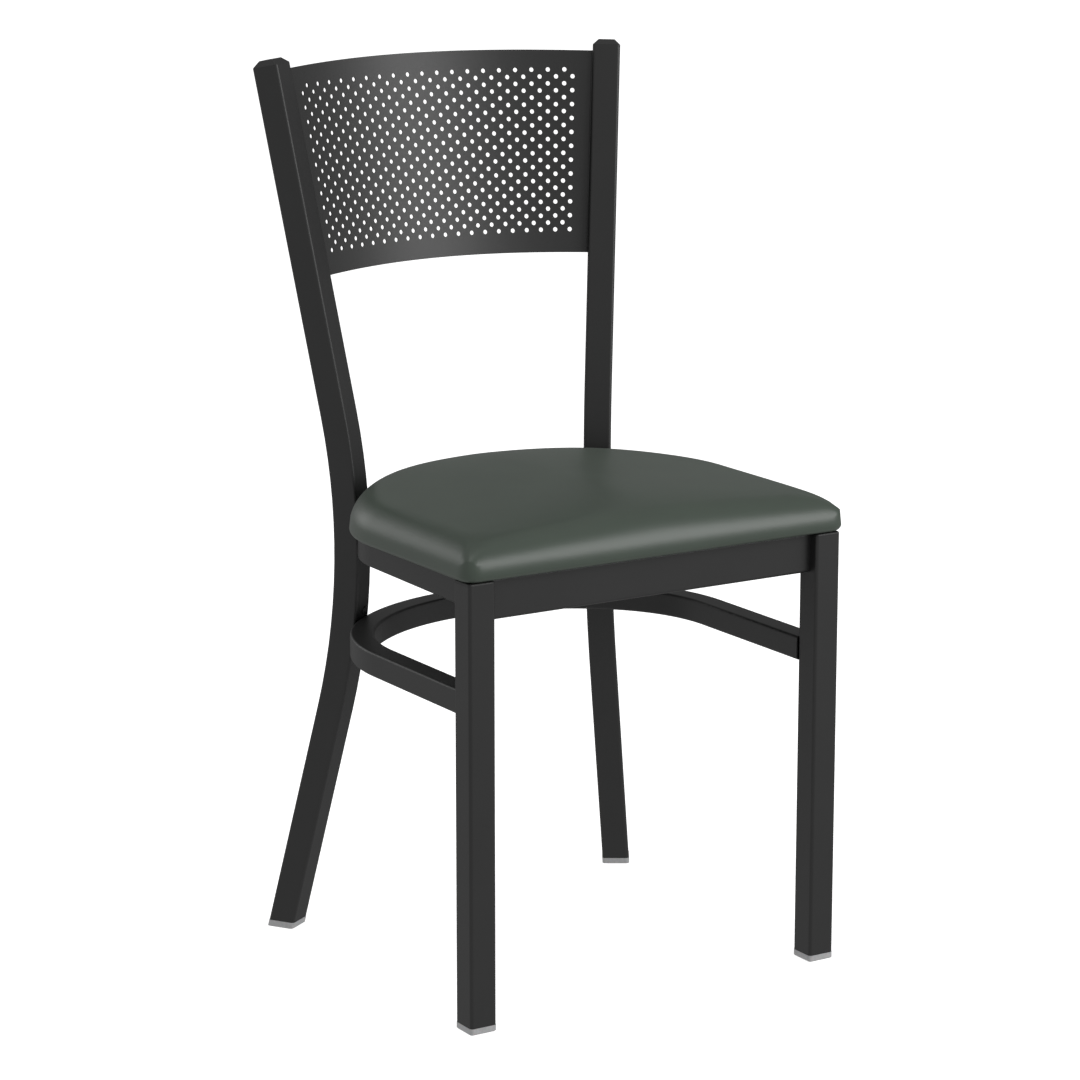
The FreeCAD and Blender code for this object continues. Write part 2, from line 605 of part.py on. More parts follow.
for side, hand in SIDES:
    base = frame(FOOT, BEND_SIDE, LOWER, hand)

    def level(height):
        """Horizontal plane at a height, over the foot, in the post's own frame."""
        return base.inverse() * Placement(mirrored(FOOT, hand) + Vector(0, 0, height), Rotation())

    name = "rear_post_" + side
    body = new_body(name)
    body.Placement = base
    spine = new_sketch(body, name + "_spine", "XZ_Plane")
    low = Vector(0, size("lower_run"), 0)
    centre = low + Vector(size("bend_radius"), 0, 0)
    leaving = Vector(math.sin(TURN), math.cos(TURN), 0)
    high = centre + Vector(-math.cos(TURN), math.sin(TURN), 0) * size("bend_radius")
    spine.addGeometry(Part.LineSegment(Vector(0, 0, 0), low))
    spine.addGeometry(arc(centre, size("bend_radius"), math.pi - TURN, math.pi))
    spine.addGeometry(Part.LineSegment(high, high + leaving * size("upper_run")))
    spine.addConstraint(Sketcher.Constraint("Coincident", 0, 1, -1, 1))
    spine.addConstraint(Sketcher.Constraint("Vertical", 0))
    spine.addConstraint(Sketcher.Constraint("Tangent", 0, 2, 1, 2))
    spine.addConstraint(Sketcher.Constraint("Tangent", 1, 1, 2, 1))
    bind(spine, "Distance", (0,), dim("lower_run"), "lower_run")
    bind(spine, "Radius", (1,), dim("bend_radius"), "bend_radius")
    bind(spine, "Distance", (2,), dim("upper_run"), "upper_run")
    bind(spine, "Angle", (-1, 2), formula(90) - dim("post_turn"), "upper_angle")
    profile = new_sketch(body, name + "_profile", offset=turned(Vector(), hand))
    tube_profile(profile, LEG_SIDE, LEG_SIDE, dim("leg_corner"), dim("leg_wall"))
    sweep(body, name + "_tube", profile, spine)
    trim = new_sketch(body, name + "_foot_trim", offset=level(size("glide_height")))
    rounded_rectangle(trim, "trim", LEG_SIDE * 3, LEG_SIDE * 3, dim("leg_corner"))
    pocket(body, name + "_level_foot", trim)
    face = frame(VENT, vent_side, vent_rear * -1, hand)
    hole = new_sketch(body, name + "_vent", offset=base.inverse() * face)
    circle_at(hole, "vent", dim("vent_stem") + dim("vent_fit") * 2)
    pocket(body, name + "_vent_hole", hole, dim("leg_wall") * 2)
    finish(name, body)

    name = "vent_plug_" + side
    body = new_body(name)
    body.Placement = frame(VENT - vent_rear * size("weld_gap"), vent_side, vent_rear * -1, hand)
    sketch = new_sketch(body, name + "_head_outline")
    circle_at(sketch, "head", dim("vent_head"))
    head = pad(body, name + "_head", sketch, dim("vent_dome"))
    dress(body, "Fillet", name + "_dome", head, at_height(size("vent_dome")),
          dim("vent_dome") - dim("weld_gap"))
    sketch = new_sketch(body, name + "_stem_outline")
    circle_at(sketch, "stem", dim("vent_stem"))
    pad(body, name + "_stem", sketch, dim("leg_wall") * 3, reverse=True)
    finish(name, body)

    name = "post_cap_" + side
    body = new_body(name)
    body.Placement = frame(TOP - UPPER * size("cap_height"), BEND_AXIS.cross(UPPER), UPPER, hand)
    collar = dim("cap_height") - dim("cap_bevel")
    sketch = new_sketch(body, name + "_collar_outline", offset=turned(Vector(), hand))
    rounded_rectangle(sketch, "collar", LEG_SIDE, LEG_SIDE, dim("leg_corner"))
    pad(body, name + "_collar", sketch, collar)
    sketch = new_sketch(body, name + "_bevel_base", offset=turned(Vector(), hand))
    raise_sketch(sketch, collar)
    rounded_rectangle(sketch, "base", LEG_SIDE, LEG_SIDE, dim("leg_corner"))
    crown = new_sketch(body, name + "_bevel_top", offset=turned(Vector(), hand))
    raise_sketch(crown, dim("cap_height"))
    flat = LEG_SIDE - dim("cap_bevel") * 2
    rounded_rectangle(crown, "top", flat, flat, dim("leg_corner") - dim("leg_wall"))
    loft = body.newObject("PartDesign::AdditiveLoft", name + "_bevel")
    loft.Profile = sketch
    loft.Sections = [crown]
    loft.Ruled = True
    sketch = new_sketch(body, name + "_plug_outline", offset=turned(Vector(), hand))
    rounded_rectangle(sketch, "plug", PLUG_SIDE, PLUG_SIDE, PLUG_ROUND)
    pad(body, name + "_plug", sketch, dim("plug_depth"), reverse=True)
    finish(name, body)

    name = "foot_glide_rear_" + side
    body = new_body(name)
    body.Placement = base
    block = new_sketch(body, name + "_foot_outline", offset=turned(Vector(), hand))
    rounded_rectangle(block, "foot", LEG_SIDE + lip * 2, LEG_SIDE + lip * 2, dim("leg_corner") + lip)
    pad(body, name + "_foot", block, dim("glide_height") * 4, middle=True)
    trim = new_sketch(body, name + "_top_trim", offset=level(size("glide_height")))
    rounded_rectangle(trim, "trim", LEG_SIDE * 3, LEG_SIDE * 3, dim("leg_corner"))
    pocket(body, name + "_level_top", trim, reverse=True)
    plug = new_sketch(body, name + "_plug_outline", offset=turned(Vector(), hand))
    rounded_rectangle(plug, "plug", PLUG_SIDE, PLUG_SIDE, PLUG_ROUND)
    pad(body, name + "_plug", plug, dim("glide_height") + dim("plug_depth"))
    floor = new_sketch(body, name + "_floor_trim", offset=level(0))
    rounded_rectangle(floor, "floor", LEG_SIDE * 3, LEG_SIDE * 3, dim("leg_corner"))
    pocket(body, name + "_level_floor", floor)
    finish(name, body)


# ---------------------------------------------------------------- perforated back panel

LEAN = math.radians(size("panel_lean"))
PANEL = Placement(Vector(0, FRONT + size("panel_setback"), size("panel_height")),
                  Rotation(Vector(1, 0, 0), -size("panel_lean")))


def panel_point(across, rise, behind=0.0):
    """Point of the panel at a distance behind its hollow front face."""
    radius = size("panel_radius")
    bow = math.sqrt((radius + behind) ** 2 - across ** 2) - radius
    return PANEL.multVec(Vector(across, bow, rise))


def panel_reach(rise_at):
    """Half width at which the panel meets the inner face of the right post."""
    point, _, sideways, _ = post_at(TOP.z)
    inner = point - sideways * (size("leg_side") / 2 + size("weld_gap"))
    near, far = 0.0, size("leg_spacing") / 2
    for _ in range(50):
        across = (near + far) / 2
        rise = rise_at(across)
        faces = (panel_point(across, rise), panel_point(across, rise, size("panel_sheet")))
        if max((corner - inner).dot(sideways) for corner in faces) < 0:
            near = across
        else:
            far = across
    return across


def crowned(middle):
    return lambda across: middle - across ** 2 / (2 * size("edge_crown"))


derive("panel_top_reach", panel_reach(crowned(size("panel_rise"))), "half width of the panel's top edge")
derive("panel_low_reach", panel_reach(crowned(-size("panel_drop"))), "half width of its bottom edge")

body = new_body("panel_blank")
sketch = new_sketch(body, "panel_section")
half = math.asin(min(0.99, size("leg_spacing") / 2 / size("panel_radius")))
inner, outer = dim("panel_radius"), dim("panel_radius") + dim("panel_sheet")
hub = Vector(0, -size("panel_radius"), 0)
sketch.addGeometry(arc(hub, inner.value, math.pi / 2 - half, math.pi / 2 + half))
sketch.addGeometry(arc(hub, outer.value, math.pi / 2 - half, math.pi / 2 + half))
for ends in ((1, 1), (2, 2)):
    angle = math.pi / 2 + (half if ends[0] == 2 else -half)
    ray = Vector(math.cos(angle), math.sin(angle), 0)
    line = sketch.addGeometry(Part.LineSegment(hub + ray * inner.value, hub + ray * outer.value))
    sketch.addConstraint(Sketcher.Constraint("Coincident", line, 1, 0, ends[0]))
    sketch.addConstraint(Sketcher.Constraint("Coincident", line, 2, 1, ends[1]))
    sketch.addConstraint(Sketcher.Constraint("PointOnObject", 0, 3, line))
sketch.addConstraint(Sketcher.Constraint("Coincident", 0, 3, 1, 3))
sketch.addConstraint(Sketcher.Constraint("PointOnObject", 0, 3, -2))
sketch.addConstraint(Sketcher.Constraint("Symmetric", 0, 1, 0, 2, -2))
bind(sketch, "Radius", (0,), inner, "hollow")
bind(sketch, "Radius", (1,), outer, "back")
bind(sketch, "DistanceY", (0, 3, -1, 1), inner, "hub")
bind(sketch, "DistanceX", (0, 2, 0, 1), dim("leg_spacing"), "blank_width")
pad(body, "panel_sheet", sketch, (dim("panel_rise") + dim("panel_drop")) * 2, middle=True)

trim = new_sketch(body, "panel_outline", "XZ_Plane")
rounded_rectangle(trim, "waste", dim("leg_spacing") * 2, (dim("panel_rise") + dim("panel_drop")) * 3,
                  dim("leg_corner"))
top_x, low_x = size("panel_top_reach"), size("panel_low_reach")
top_end = Vector(top_x, crowned(size("panel_rise"))(top_x), 0)
low_end = Vector(low_x, crowned(-size("panel_drop"))(low_x), 0)
crown_radius = size("edge_crown")
first = trim.GeometryCount
for end, middle in ((top_end, size("panel_rise")), (low_end, -size("panel_drop"))):
    centre = Vector(0, middle - crown_radius, 0)
    angle = math.asin(end.x / crown_radius)
    trim.addGeometry(arc(centre, crown_radius, math.pi / 2 - angle, math.pi / 2 + angle))
trim.addGeometry(Part.LineSegment(low_end, top_end))
trim.addGeometry(Part.LineSegment(mirrored(low_end, -1), mirrored(top_end, -1)))
for line, end in ((first + 2, 1), (first + 3, 2)):
    trim.addConstraint(Sketcher.Constraint("Coincident", line, 2, first, end))
    trim.addConstraint(Sketcher.Constraint("Coincident", line, 1, first + 1, end))
for number, rise in ((first, dim("panel_rise")), (first + 1, dim("panel_drop") * -1)):
    trim.addConstraint(Sketcher.Constraint("PointOnObject", number, 3, -2))
    bind(trim, "Radius", (number,), dim("edge_crown"), "crown_%d" % number)
    bind(trim, "DistanceY", (number, 3, -1, 1), dim("edge_crown") - rise, "rise_%d" % number)
    trim.addConstraint(Sketcher.Constraint("Symmetric", number, 1, number, 2, -2))
bind(trim, "DistanceX", (-1, 1, first, 1), dim("panel_top_reach"), "top_reach")
bind(trim, "DistanceX", (-1, 1, first + 1, 1), dim("panel_low_reach"), "low_reach")
pocket(body, "panel_trim", trim, middle=True)
body.Placement = PANEL

punches = []
columns = int(size("hole_columns"))
middle_column = (columns - 1) / 2
for row in range(int(size("hole_rows"))):
    rise = size("first_row_rise") - size("row_pitch") * row
    half_width = size("grid_half_width") + size("grid_flare") * rise
    for column in range(1 - row % 2, columns, 2):
        angle = half_width * (column - middle_column) / middle_column / size("panel_radius")
        outward = Vector(math.sin(angle), math.cos(angle), 0)
        across = outward.x * size("panel_radius")
        level_drop = across ** 2 / (2 * size("row_crown"))
        start = hub + outward * (size("panel_radius") - size("hole_diameter"))
        start.z = rise - level_drop
        length = 2 * size("hole_diameter") + size("panel_sheet")
        punches.append(Part.makeCylinder(size("hole_diameter") / 2, length, start, outward))
punch = doc.addObject("Part::Feature", "panel_punches")
punch.Shape = Part.makeCompound(punches)
punch.Placement = PANEL
panel = doc.addObject("Part::Cut", "back_panel")
panel.Base = body
panel.Tool = punch
finish("back_panel", panel)


# ---------------------------------------------------------------- cushion

SEAT_HALF = (dim("leg_spacing") + dim("leg_side")) / 2 + dim("seat_overhang")
derive("seat_corner", SEAT_HALF.value * size("seat_corner_share"), "radius of the cushion's rear corners")
derive("seat_arc", SEAT_HALF.value * size("seat_arc_share"), "radius of the cushion's back edge")
SEAT_Y = FRONT - size("seat_front")
HEM = dim("seat_frame_height") + dim("seat_gap")
BOARD = HEM + dim("cover_thickness")
FOAM = BOARD + dim("board_thickness") + dim("seat_gap")
CROWN = dim("seat_frame_height") + dim("seat_rise")


def seat_outline(sketch, inset, front_corner=None):
    """Cushion's outline moved inwards: front, two sides and a back of three arcs."""
    inset = formula(inset)
    half_width = SEAT_HALF - inset
    front = inset
    small = front_corner or dim("seat_front_corner") - inset
    corner = dim("seat_corner") - inset
    back = dim("seat_arc") - inset
    back_centre = dim("seat_depth") - dim("seat_arc")
    corner_x = half_width.value - corner.value
    climb = math.sqrt((back.value - corner.value) ** 2 - corner_x ** 2)
    corner_y = back_centre.value + climb
    junction = math.atan2(climb, corner_x)
    x, y, r = half_width.value, front.value, small.value
    sketch.addGeometry(Part.LineSegment(Vector(r - x, y, 0), Vector(x - r, y, 0)))
    sketch.addGeometry(arc(Vector(x - r, y + r, 0), r, -math.pi / 2, 0))
    sketch.addGeometry(Part.LineSegment(Vector(x, y + r, 0), Vector(x, corner_y, 0)))
    sketch.addGeometry(arc(Vector(corner_x, corner_y, 0), corner.value, 0, junction))
    sketch.addGeometry(arc(Vector(0, back_centre.value, 0), back.value, junction, math.pi - junction))
    sketch.addGeometry(arc(Vector(-corner_x, corner_y, 0), corner.value, math.pi - junction, math.pi))
    sketch.addGeometry(Part.LineSegment(Vector(-x, corner_y, 0), Vector(-x, y + r, 0)))
    sketch.addGeometry(arc(Vector(r - x, y + r, 0), r, math.pi, 1.5 * math.pi))
    chain(sketch, [(number, (number + 1) % 8) for number in range(8)])
    sketch.addConstraint(Sketcher.Constraint("Symmetric", 0, 1, 0, 2, -2))
    sketch.addConstraint(Sketcher.Constraint("Vertical", 2))
    sketch.addConstraint(Sketcher.Constraint("Vertical", 6))
    sketch.addConstraint(Sketcher.Constraint("Equal", 1, 7))
    sketch.addConstraint(Sketcher.Constraint("Equal", 3, 5))
    sketch.addConstraint(Sketcher.Constraint("PointOnObject", 4, 3, -2))
    bind(sketch, "Radius", (1,), small, "front_corner")
    bind(sketch, "Radius", (3,), corner, "rear_corner")
    bind(sketch, "Radius", (4,), back, "back_arc")
    bind(sketch, "DistanceX", (-1, 1, 2, 1), half_width, "half_width")
    bind(sketch, "DistanceY", (-1, 1, 0, 1), front, "front")
    bind(sketch, "DistanceY", (-1, 1, 4, 3), back_centre, "back_centre")


def seat_block(name, inset, bottom, shoulder):
    """Domed block of the cushion, moved inwards from its outside by an inset."""
    inset = formula(inset)
    body = new_body(name + "_block")
    sketch = new_sketch(body, name + "_outline")
    seat_outline(sketch, inset)
    pad(body, name + "_height", sketch, CROWN - bottom)
    body.Placement.Base = Vector(0, SEAT_Y, bottom.value)
    ball = doc.addObject("Part::Sphere", name + "_dome")
    ball.setExpression("Radius", (dim("seat_crown") - inset).text)
    ball.Placement.Base = Vector(0, SEAT_Y + size("seat_depth") / 2, CROWN.value - size("seat_crown"))
    dome = doc.addObject("Part::Common", name + "_domed")
    dome.Base = body
    dome.Tool = ball
    doc.recompute()
    rounded = doc.addObject("Part::Fillet", name + "_rounded")
    rounded.Base = dome
    low = bottom.value + 1
    rim = [n + 1 for n, edge in enumerate(dome.Shape.Edges) if edge.BoundBox.ZMin > low]
    rounded.Edges = [(number, shoulder.value, shoulder.value) for number in rim]
    return rounded


# board with pilot holes for the four screws
SCREWS = []
for side, hand in SIDES:
    for end in ("front", "rear"):
        along = Vector(-math.sin(band_ring.lean), math.cos(band_ring.lean), 0)
        inwards = Vector(-math.cos(band_ring.lean), -math.sin(band_ring.lean), 0)
        run = (FRONT + size("bracket_" + end) - band_ring.start) / math.cos(band_ring.lean)
        wall = Vector(band_ring.half_width, band_ring.start, 0) + along * run + inwards * size("band_depth")
        SCREWS.append((end, side, hand, wall, wall + inwards * size("screw_reach")))


def screw_circles(sketch, diameter):
    """One circle round each screw, in a frame that stands at the cushion's front edge."""
    for end, side, hand, _, spot in SCREWS:
        tag = end + "_" + side
        circle_at(sketch, tag, diameter, spot.x * hand, spot.y - SEAT_Y)


body = new_body("seat_board_blank")
sketch = new_sketch(body, "seat_board_outline")
LINING = dim("cover_thickness") + dim("seat_gap")
seat_outline(sketch, LINING + dim("board_inset"))
pad(body, "seat_board_ply", sketch, dim("board_thickness"))
sketch = new_sketch(body, "seat_board_pilots")
screw_circles(sketch, dim("screw_shank") + dim("pilot_fit") * 2)
pocket(body, "seat_board_pilot_holes", sketch, dim("board_thickness") - dim("bracket_sheet") / 2,
       reverse=True)
body.Placement.Base = Vector(0, SEAT_Y, BOARD.value)
board_blank = body

# dust cover, level with the hem
body = new_body("dust_cover")
sketch = new_sketch(body, "dust_cover_outline")
seat_outline(sketch, dim("hem_width") + dim("seat_gap"), dim("hem_front_corner"))
screw_circles(sketch, dim("bracket_hole"))
pad(body, "dust_cover_sheet", sketch, dim("dust_thickness"))
body.Placement.Base = Vector(0, SEAT_Y, HEM.value + size("seat_gap"))
finish("dust_cover", body)

# foam
foam = seat_block("seat_foam", LINING, FOAM, dim("seat_shoulder") - LINING)
finish("seat_foam", foam)

# cover: outer block less its lining and the opening inside the hem
outer = seat_block("seat_cover_outside", 0.0, HEM, dim("seat_shoulder"))
lining = seat_block("seat_cover_inside", dim("cover_thickness"), BOARD,
                    dim("seat_shoulder") - dim("cover_thickness"))
opening = new_body("seat_cover_opening")
sketch = new_sketch(opening, "seat_cover_opening_outline")
seat_outline(sketch, dim("hem_width"), dim("hem_front_corner"))
pad(opening, "seat_cover_opening_depth", sketch, dim("cover_thickness") * 4, middle=True)
opening.Placement.Base = Vector(0, SEAT_Y, BOARD.value)
shell = doc.addObject("Part::Cut", "seat_cover_shell")
shell.Base = outer
shell.Tool = lining
hemmed = doc.addObject("Part::Cut", "seat_cover_hemmed")
hemmed.Base = shell
hemmed.Tool = opening

# staples along the hem, each with the slots its legs make in the cover and the board
doc.recompute()
line = Part.Wire(Part.__sortEdges__(sketch.Shape.Edges))
STAPLE_PATH = line.makeOffset2D(size("hem_width") - size("staple_line"))
STAPLE_PATH.translate(opening.Placement.Base)


def staple(width, wire, legs, extra=0.0):
    """One staple, crown down and legs up, its crown's top at the origin."""
    crown = Part.makeBox(width, wire, wire, Vector(-width / 2, -wire / 2, -wire))
    shape = crown
    for end in (-1, 1):
        corner = Vector(end * (width / 2 - wire / 2) - wire / 2 - extra, -wire / 2 - extra, -wire / 2)
        leg = Part.makeBox(wire + 2 * extra, wire + 2 * extra, legs + wire / 2 + extra, corner)
        shape = shape.fuse(leg)
    return shape.removeSplitter()


staples = []
slots = []
count = int(STAPLE_PATH.Length / size("staple_pitch"))
marks = STAPLE_PATH.discretize(Number=4 * count + 1)
for number in range(2, 4 * count, 4):
    spot = marks[number]
    heading = marks[number + 1] - marks[number - 1]
    near_bracket = False
    for _, _, hand, wall, _ in SCREWS:
        beside = abs(spot.y - wall.y) < size("bracket_width") / 2 + size("staple_width")
        near_bracket = near_bracket or (beside and spot.x * hand > 0 and abs(spot.x) > wall.x / 2)
    if near_bracket:
        continue
    turn = Rotation(UP, math.degrees(math.atan2(heading.y, heading.x)))
    where = Placement(Vector(spot.x, spot.y, HEM.value - size("tube_fit") / 2), turn)
    piece = staple(size("staple_width"), size("staple_wire"), size("staple_leg"))
    slot = staple(size("staple_width"), size("staple_wire"), size("staple_leg"), size("pilot_fit"))
    piece.Placement = where
    slot.Placement = where
    staples.append(piece)
    slots.append(slot)

group = doc.addObject("Part::Feature", "seat_staples")
group.Shape = Part.makeCompound(staples)
finish("seat_staples", group)
slot_group = doc.addObject("Part::Feature", "staple_slots")
slot_group.Shape = Part.makeCompound(slots)
cover = doc.addObject("Part::Cut", "seat_cover")
cover.Base = hemmed
cover.Tool = slot_group
finish("seat_cover", cover)
board = doc.addObject("Part::Cut", "seat_board")
board.Base = board_blank
board.Tool = slot_group
finish("seat_board", board)


# ---------------------------------------------------------------- brackets and screws

def bracket(name, position, turn):
    """Steel angle: a leg welded to the band and a drilled flange under the board."""
    flange = doc.addObject("Part::Box", name + "_flange")
    leg = doc.addObject("Part::Box", name + "_leg")
    hole = doc.addObject("Part::Cylinder", name + "_drill")
    flange.setExpression("Length", "Sizes.bracket_reach")
    leg.setExpression("Length", "Sizes.bracket_sheet")
    flange.setExpression("Height", "Sizes.bracket_sheet")
    leg.setExpression("Height", "Sizes.bracket_drop")
    for box in (flange, leg):
        box.setExpression("Width", "Sizes.bracket_width")
        box.setExpression("Placement.Base.y", "-Sizes.bracket_width / 2")
    flange.setExpression("Placement.Base.z", "-Sizes.bracket_sheet")
    leg.setExpression("Placement.Base.z", "-Sizes.bracket_drop")
    hole.setExpression("Radius", "Sizes.bracket_hole / 2")
    hole.setExpression("Height", "Sizes.bracket_drop")
    hole.setExpression("Placement.Base.x", "Sizes.screw_reach")
    hole.setExpression("Placement.Base.z", "-Sizes.bracket_drop / 2")
    angle = doc.addObject("Part::Fuse", name + "_angle")
    angle.Base = flange
    angle.Tool = leg
    angle.Refine = True
    doc.recompute()
    inner_bend = size("bracket_sheet")
    bend = [n + 1 for n, edge in enumerate(angle.Shape.Edges)
            if abs(edge.BoundBox.XMax - inner_bend) < 0.01 and abs(edge.BoundBox.ZMin + inner_bend) < 0.01
            and edge.BoundBox.YLength > inner_bend]
    eased = doc.addObject("Part::Fillet", name + "_bend")
    eased.Base = angle
    eased.Edges = [(number, inner_bend / 2, inner_bend / 2) for number in bend]
    drilled = doc.addObject("Part::Cut", name)
    drilled.Base = eased
    drilled.Tool = hole
    drilled.Placement = Placement(position, turn)
    finish(name, drilled)


for end, side, hand, wall, spot in SCREWS:
    toward = mirrored(spot - wall, hand)
    turn = Rotation(UP, math.degrees(math.atan2(toward.y, toward.x)))
    position = mirrored(wall, hand) + toward.normalize() * size("weld_gap")
    position.z = size("seat_frame_height")
    bracket("seat_bracket_%s_%s" % (end, side), position, turn)

body = new_body("screw_blank")
sketch = new_sketch(body, "screw_head_outline")
circle_at(sketch, "head", dim("screw_head"))
head = pad(body, "screw_head_disc", sketch, dim("screw_head_height"), reverse=True)
dress(body, "Fillet", "screw_head_dome", head, at_height(-size("screw_head_height")),
      dim("screw_head_height") * 0.7)
sketch = new_sketch(body, "screw_shank_outline")
circle_at(sketch, "shank", dim("screw_shank"))
pad(body, "screw_shank", sketch, dim("screw_length"))
sketch = new_sketch(body, "screw_socket_outline")
raise_sketch(sketch, dim("screw_head_height") * -1)
rounded_rectangle(sketch, "socket", dim("screw_socket"), dim("screw_socket"), dim("screw_socket") / 10)
pocket(body, "screw_socket_recess", sketch, dim("socket_depth"), reverse=True)
doc.recompute()
screws = []
for _, _, hand, wall, spot in SCREWS:
    shift = (spot - wall).normalize() * size("weld_gap")
    where = mirrored(spot + shift, hand)
    where.z = size("seat_frame_height") - size("bracket_sheet") - size("weld_gap")
    piece = body.Shape.copy()
    piece.Placement = Placement(where, Rotation())
    screws.append(piece)
group = doc.addObject("Part::Feature", "seat_screws")
group.Shape = Part.makeCompound(screws)
finish("seat_screws", group)


# ---------------------------------------------------------------- checks and files

doc.recompute()
for item in doc.Objects:
    if "Invalid" in item.State or "Error" in item.State:
        raise RuntimeError("%s did not build: %s" % (item.Name, item.State))
for name, item in FINISHED.items():
    shape = item.Shape
    if shape.isNull() or not shape.isValid() or shape.Volume <= 0:
        raise RuntimeError(name + " has no valid solid")
    if not shape.Solids:
        raise RuntimeError(name + " is not solid")
for side, hand in SIDES:
    post_box = FINISHED["rear_post_" + side].Shape.optimalBoundingBox(False)
    if abs(post_box.ZMin - size("glide_height")) > 0.01:
        raise RuntimeError("the foot of rear_post_%s was not cut level" % side)
    glide_box = FINISHED["foot_glide_rear_" + side].Shape.optimalBoundingBox(False)
    if abs(glide_box.ZMin) > 0.01:
        raise RuntimeError("foot_glide_rear_%s does not stand on the floor" % side)
for name, item in FINISHED.items():
    item.Shape.exportStep("parts/%s.step" % name)
print("wrote %d pieces" % len(FINISHED))
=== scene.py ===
import math

import bmesh
import bpy
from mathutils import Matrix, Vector


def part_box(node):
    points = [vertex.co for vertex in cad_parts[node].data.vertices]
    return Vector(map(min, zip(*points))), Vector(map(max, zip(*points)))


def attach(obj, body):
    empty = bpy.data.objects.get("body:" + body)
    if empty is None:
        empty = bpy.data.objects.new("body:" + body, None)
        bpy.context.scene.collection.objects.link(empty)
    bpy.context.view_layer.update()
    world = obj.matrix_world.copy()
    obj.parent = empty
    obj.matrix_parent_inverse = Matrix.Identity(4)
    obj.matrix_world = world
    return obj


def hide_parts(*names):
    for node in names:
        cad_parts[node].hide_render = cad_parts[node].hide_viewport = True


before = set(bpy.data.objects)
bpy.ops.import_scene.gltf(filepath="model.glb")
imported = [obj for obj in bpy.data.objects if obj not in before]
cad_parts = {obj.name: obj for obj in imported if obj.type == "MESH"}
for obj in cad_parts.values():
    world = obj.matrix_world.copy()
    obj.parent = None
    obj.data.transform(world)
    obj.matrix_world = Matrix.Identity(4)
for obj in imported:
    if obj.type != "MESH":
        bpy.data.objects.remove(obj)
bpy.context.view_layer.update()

bl_info = {
    "name": "Dining Chair",
    "version": (1, 0, 0),
    "blender": (4, 5, 0),
    "location": "View3D > Sidebar > Chair",
    "description": "Welded tube dining chair with a perforated back and a padded vinyl seat",
    "category": "Object",
}

MM = 0.001
WHITE = (1, 1, 1, 1)
DRIFT_SPAN = (0.3, 0.7)       # noise values between which a colour drifts

# Cushion: how finely it is drawn, and the characters of its curves.
CUSHION_POINTS = 288
CUSHION_LEVELS = 46
FOAM_FROM_LEVEL = 14          # lower levels of the foam lie flat on the board
LAST_RING_PLACE = 0.52        # share of the depth where the rings close
EDGE_CROWDING = 0.75          # share of the rings drawn close to the edge
CROWDING_POWER = 2.6
HIP_SOFTNESS = 0.05           # width over which the front and side slopes blend, in metres
HIP_SPREAD = 1.2
TINY = 1e-6
EDGE_FULLNESS = 2.2           # 2 is a round edge, more is fuller
RIDGE_ROUNDING = 0.012
CROWN_ACROSS = 1.25           # near 1 the top is roof-like from side to side
CROWN_ALONG = 4.5             # far above 2 the top is flat from front to back
TUCK_CORNER = 0.006           # least radius of the outline's front corners
HEM_CORNER_FROM = 0.05        # the hem's own corner radius is used this far in
UNDERSIDE = ((0.0004, 0.0038), (0.0014, 0.0022), (0.0030, 0.0010), (0.0052, 0.0003),
             (0.0080, 0.0), (0.0200, 0.0), (0.0400, 0.0))  # inset and height of the tucked-in vinyl
FOAM_GAP = 0.0004             # foam to the inside of the vinyl
BOARD_GAP = 0.0002            # foam to the board

# Dust cloth: rings from its edge inwards, and the ripple between the staples.
CLOTH_POINTS = 192
CLOTH_PULLS = (0.0, 0.004, 0.03, 0.08, 0.16, 0.28, 0.42, 0.58, 0.74, 0.88)
CLOTH_RIPPLE = 0.00012
RIPPLE_POINTS = 6
RIPPLE_FADE = 9

FLOOR_REACH = 30.0
FLOOR_DROP = 0.0004           # keeps the floor clear of the glides
SKY_DIRECTION = (0.6, 0.8, 0.0)   # the room darkens this way, behind the chair
SKY_FADE_FROM = 0.25
LAMPS = (  # name, place, aim, width, height, watts
    ("key_softbox", (1.9, -2.6, 1.7), (0, 0, 0.55), 1.8, 1.8, 48.0),
    ("rear_softbox", (-1.2, 3.0, 1.5), (0, 0, 0.5), 1.8, 1.2, 10.0),
    ("top_softbox", (-0.6, -0.6, 3.2), (0, 0, 0.4), 2.0, 2.0, 12.0))

WELDED_FRAME = ("rear_post_left", "rear_post_right", "front_leg_left", "front_leg_right", "back_panel",
                "front_apron", "seat_frame_band", "stretcher_ring", "seat_bracket_front_left",
                "seat_bracket_front_right", "seat_bracket_rear_left", "seat_bracket_rear_right")
BLACK_PLASTIC = ("post_cap_left", "post_cap_right", "front_leg_plug_left", "front_leg_plug_right",
                 "vent_plug_left", "vent_plug_right")
GREY_PLASTIC = ("foot_glide_front_left", "foot_glide_front_right", "foot_glide_rear_left",
                "foot_glide_rear_right")


# ---------------------------------------------------------------- sizes and colours

class ChairFrame(bpy.types.PropertyGroup):
    """Sizes of the welded frame's finish"""
    weld_bead: bpy.props.FloatProperty(
        name="Weld Bead", description="Radius of the beads beside the back panel", default=0.0011,
        subtype="DISTANCE", unit="LENGTH")


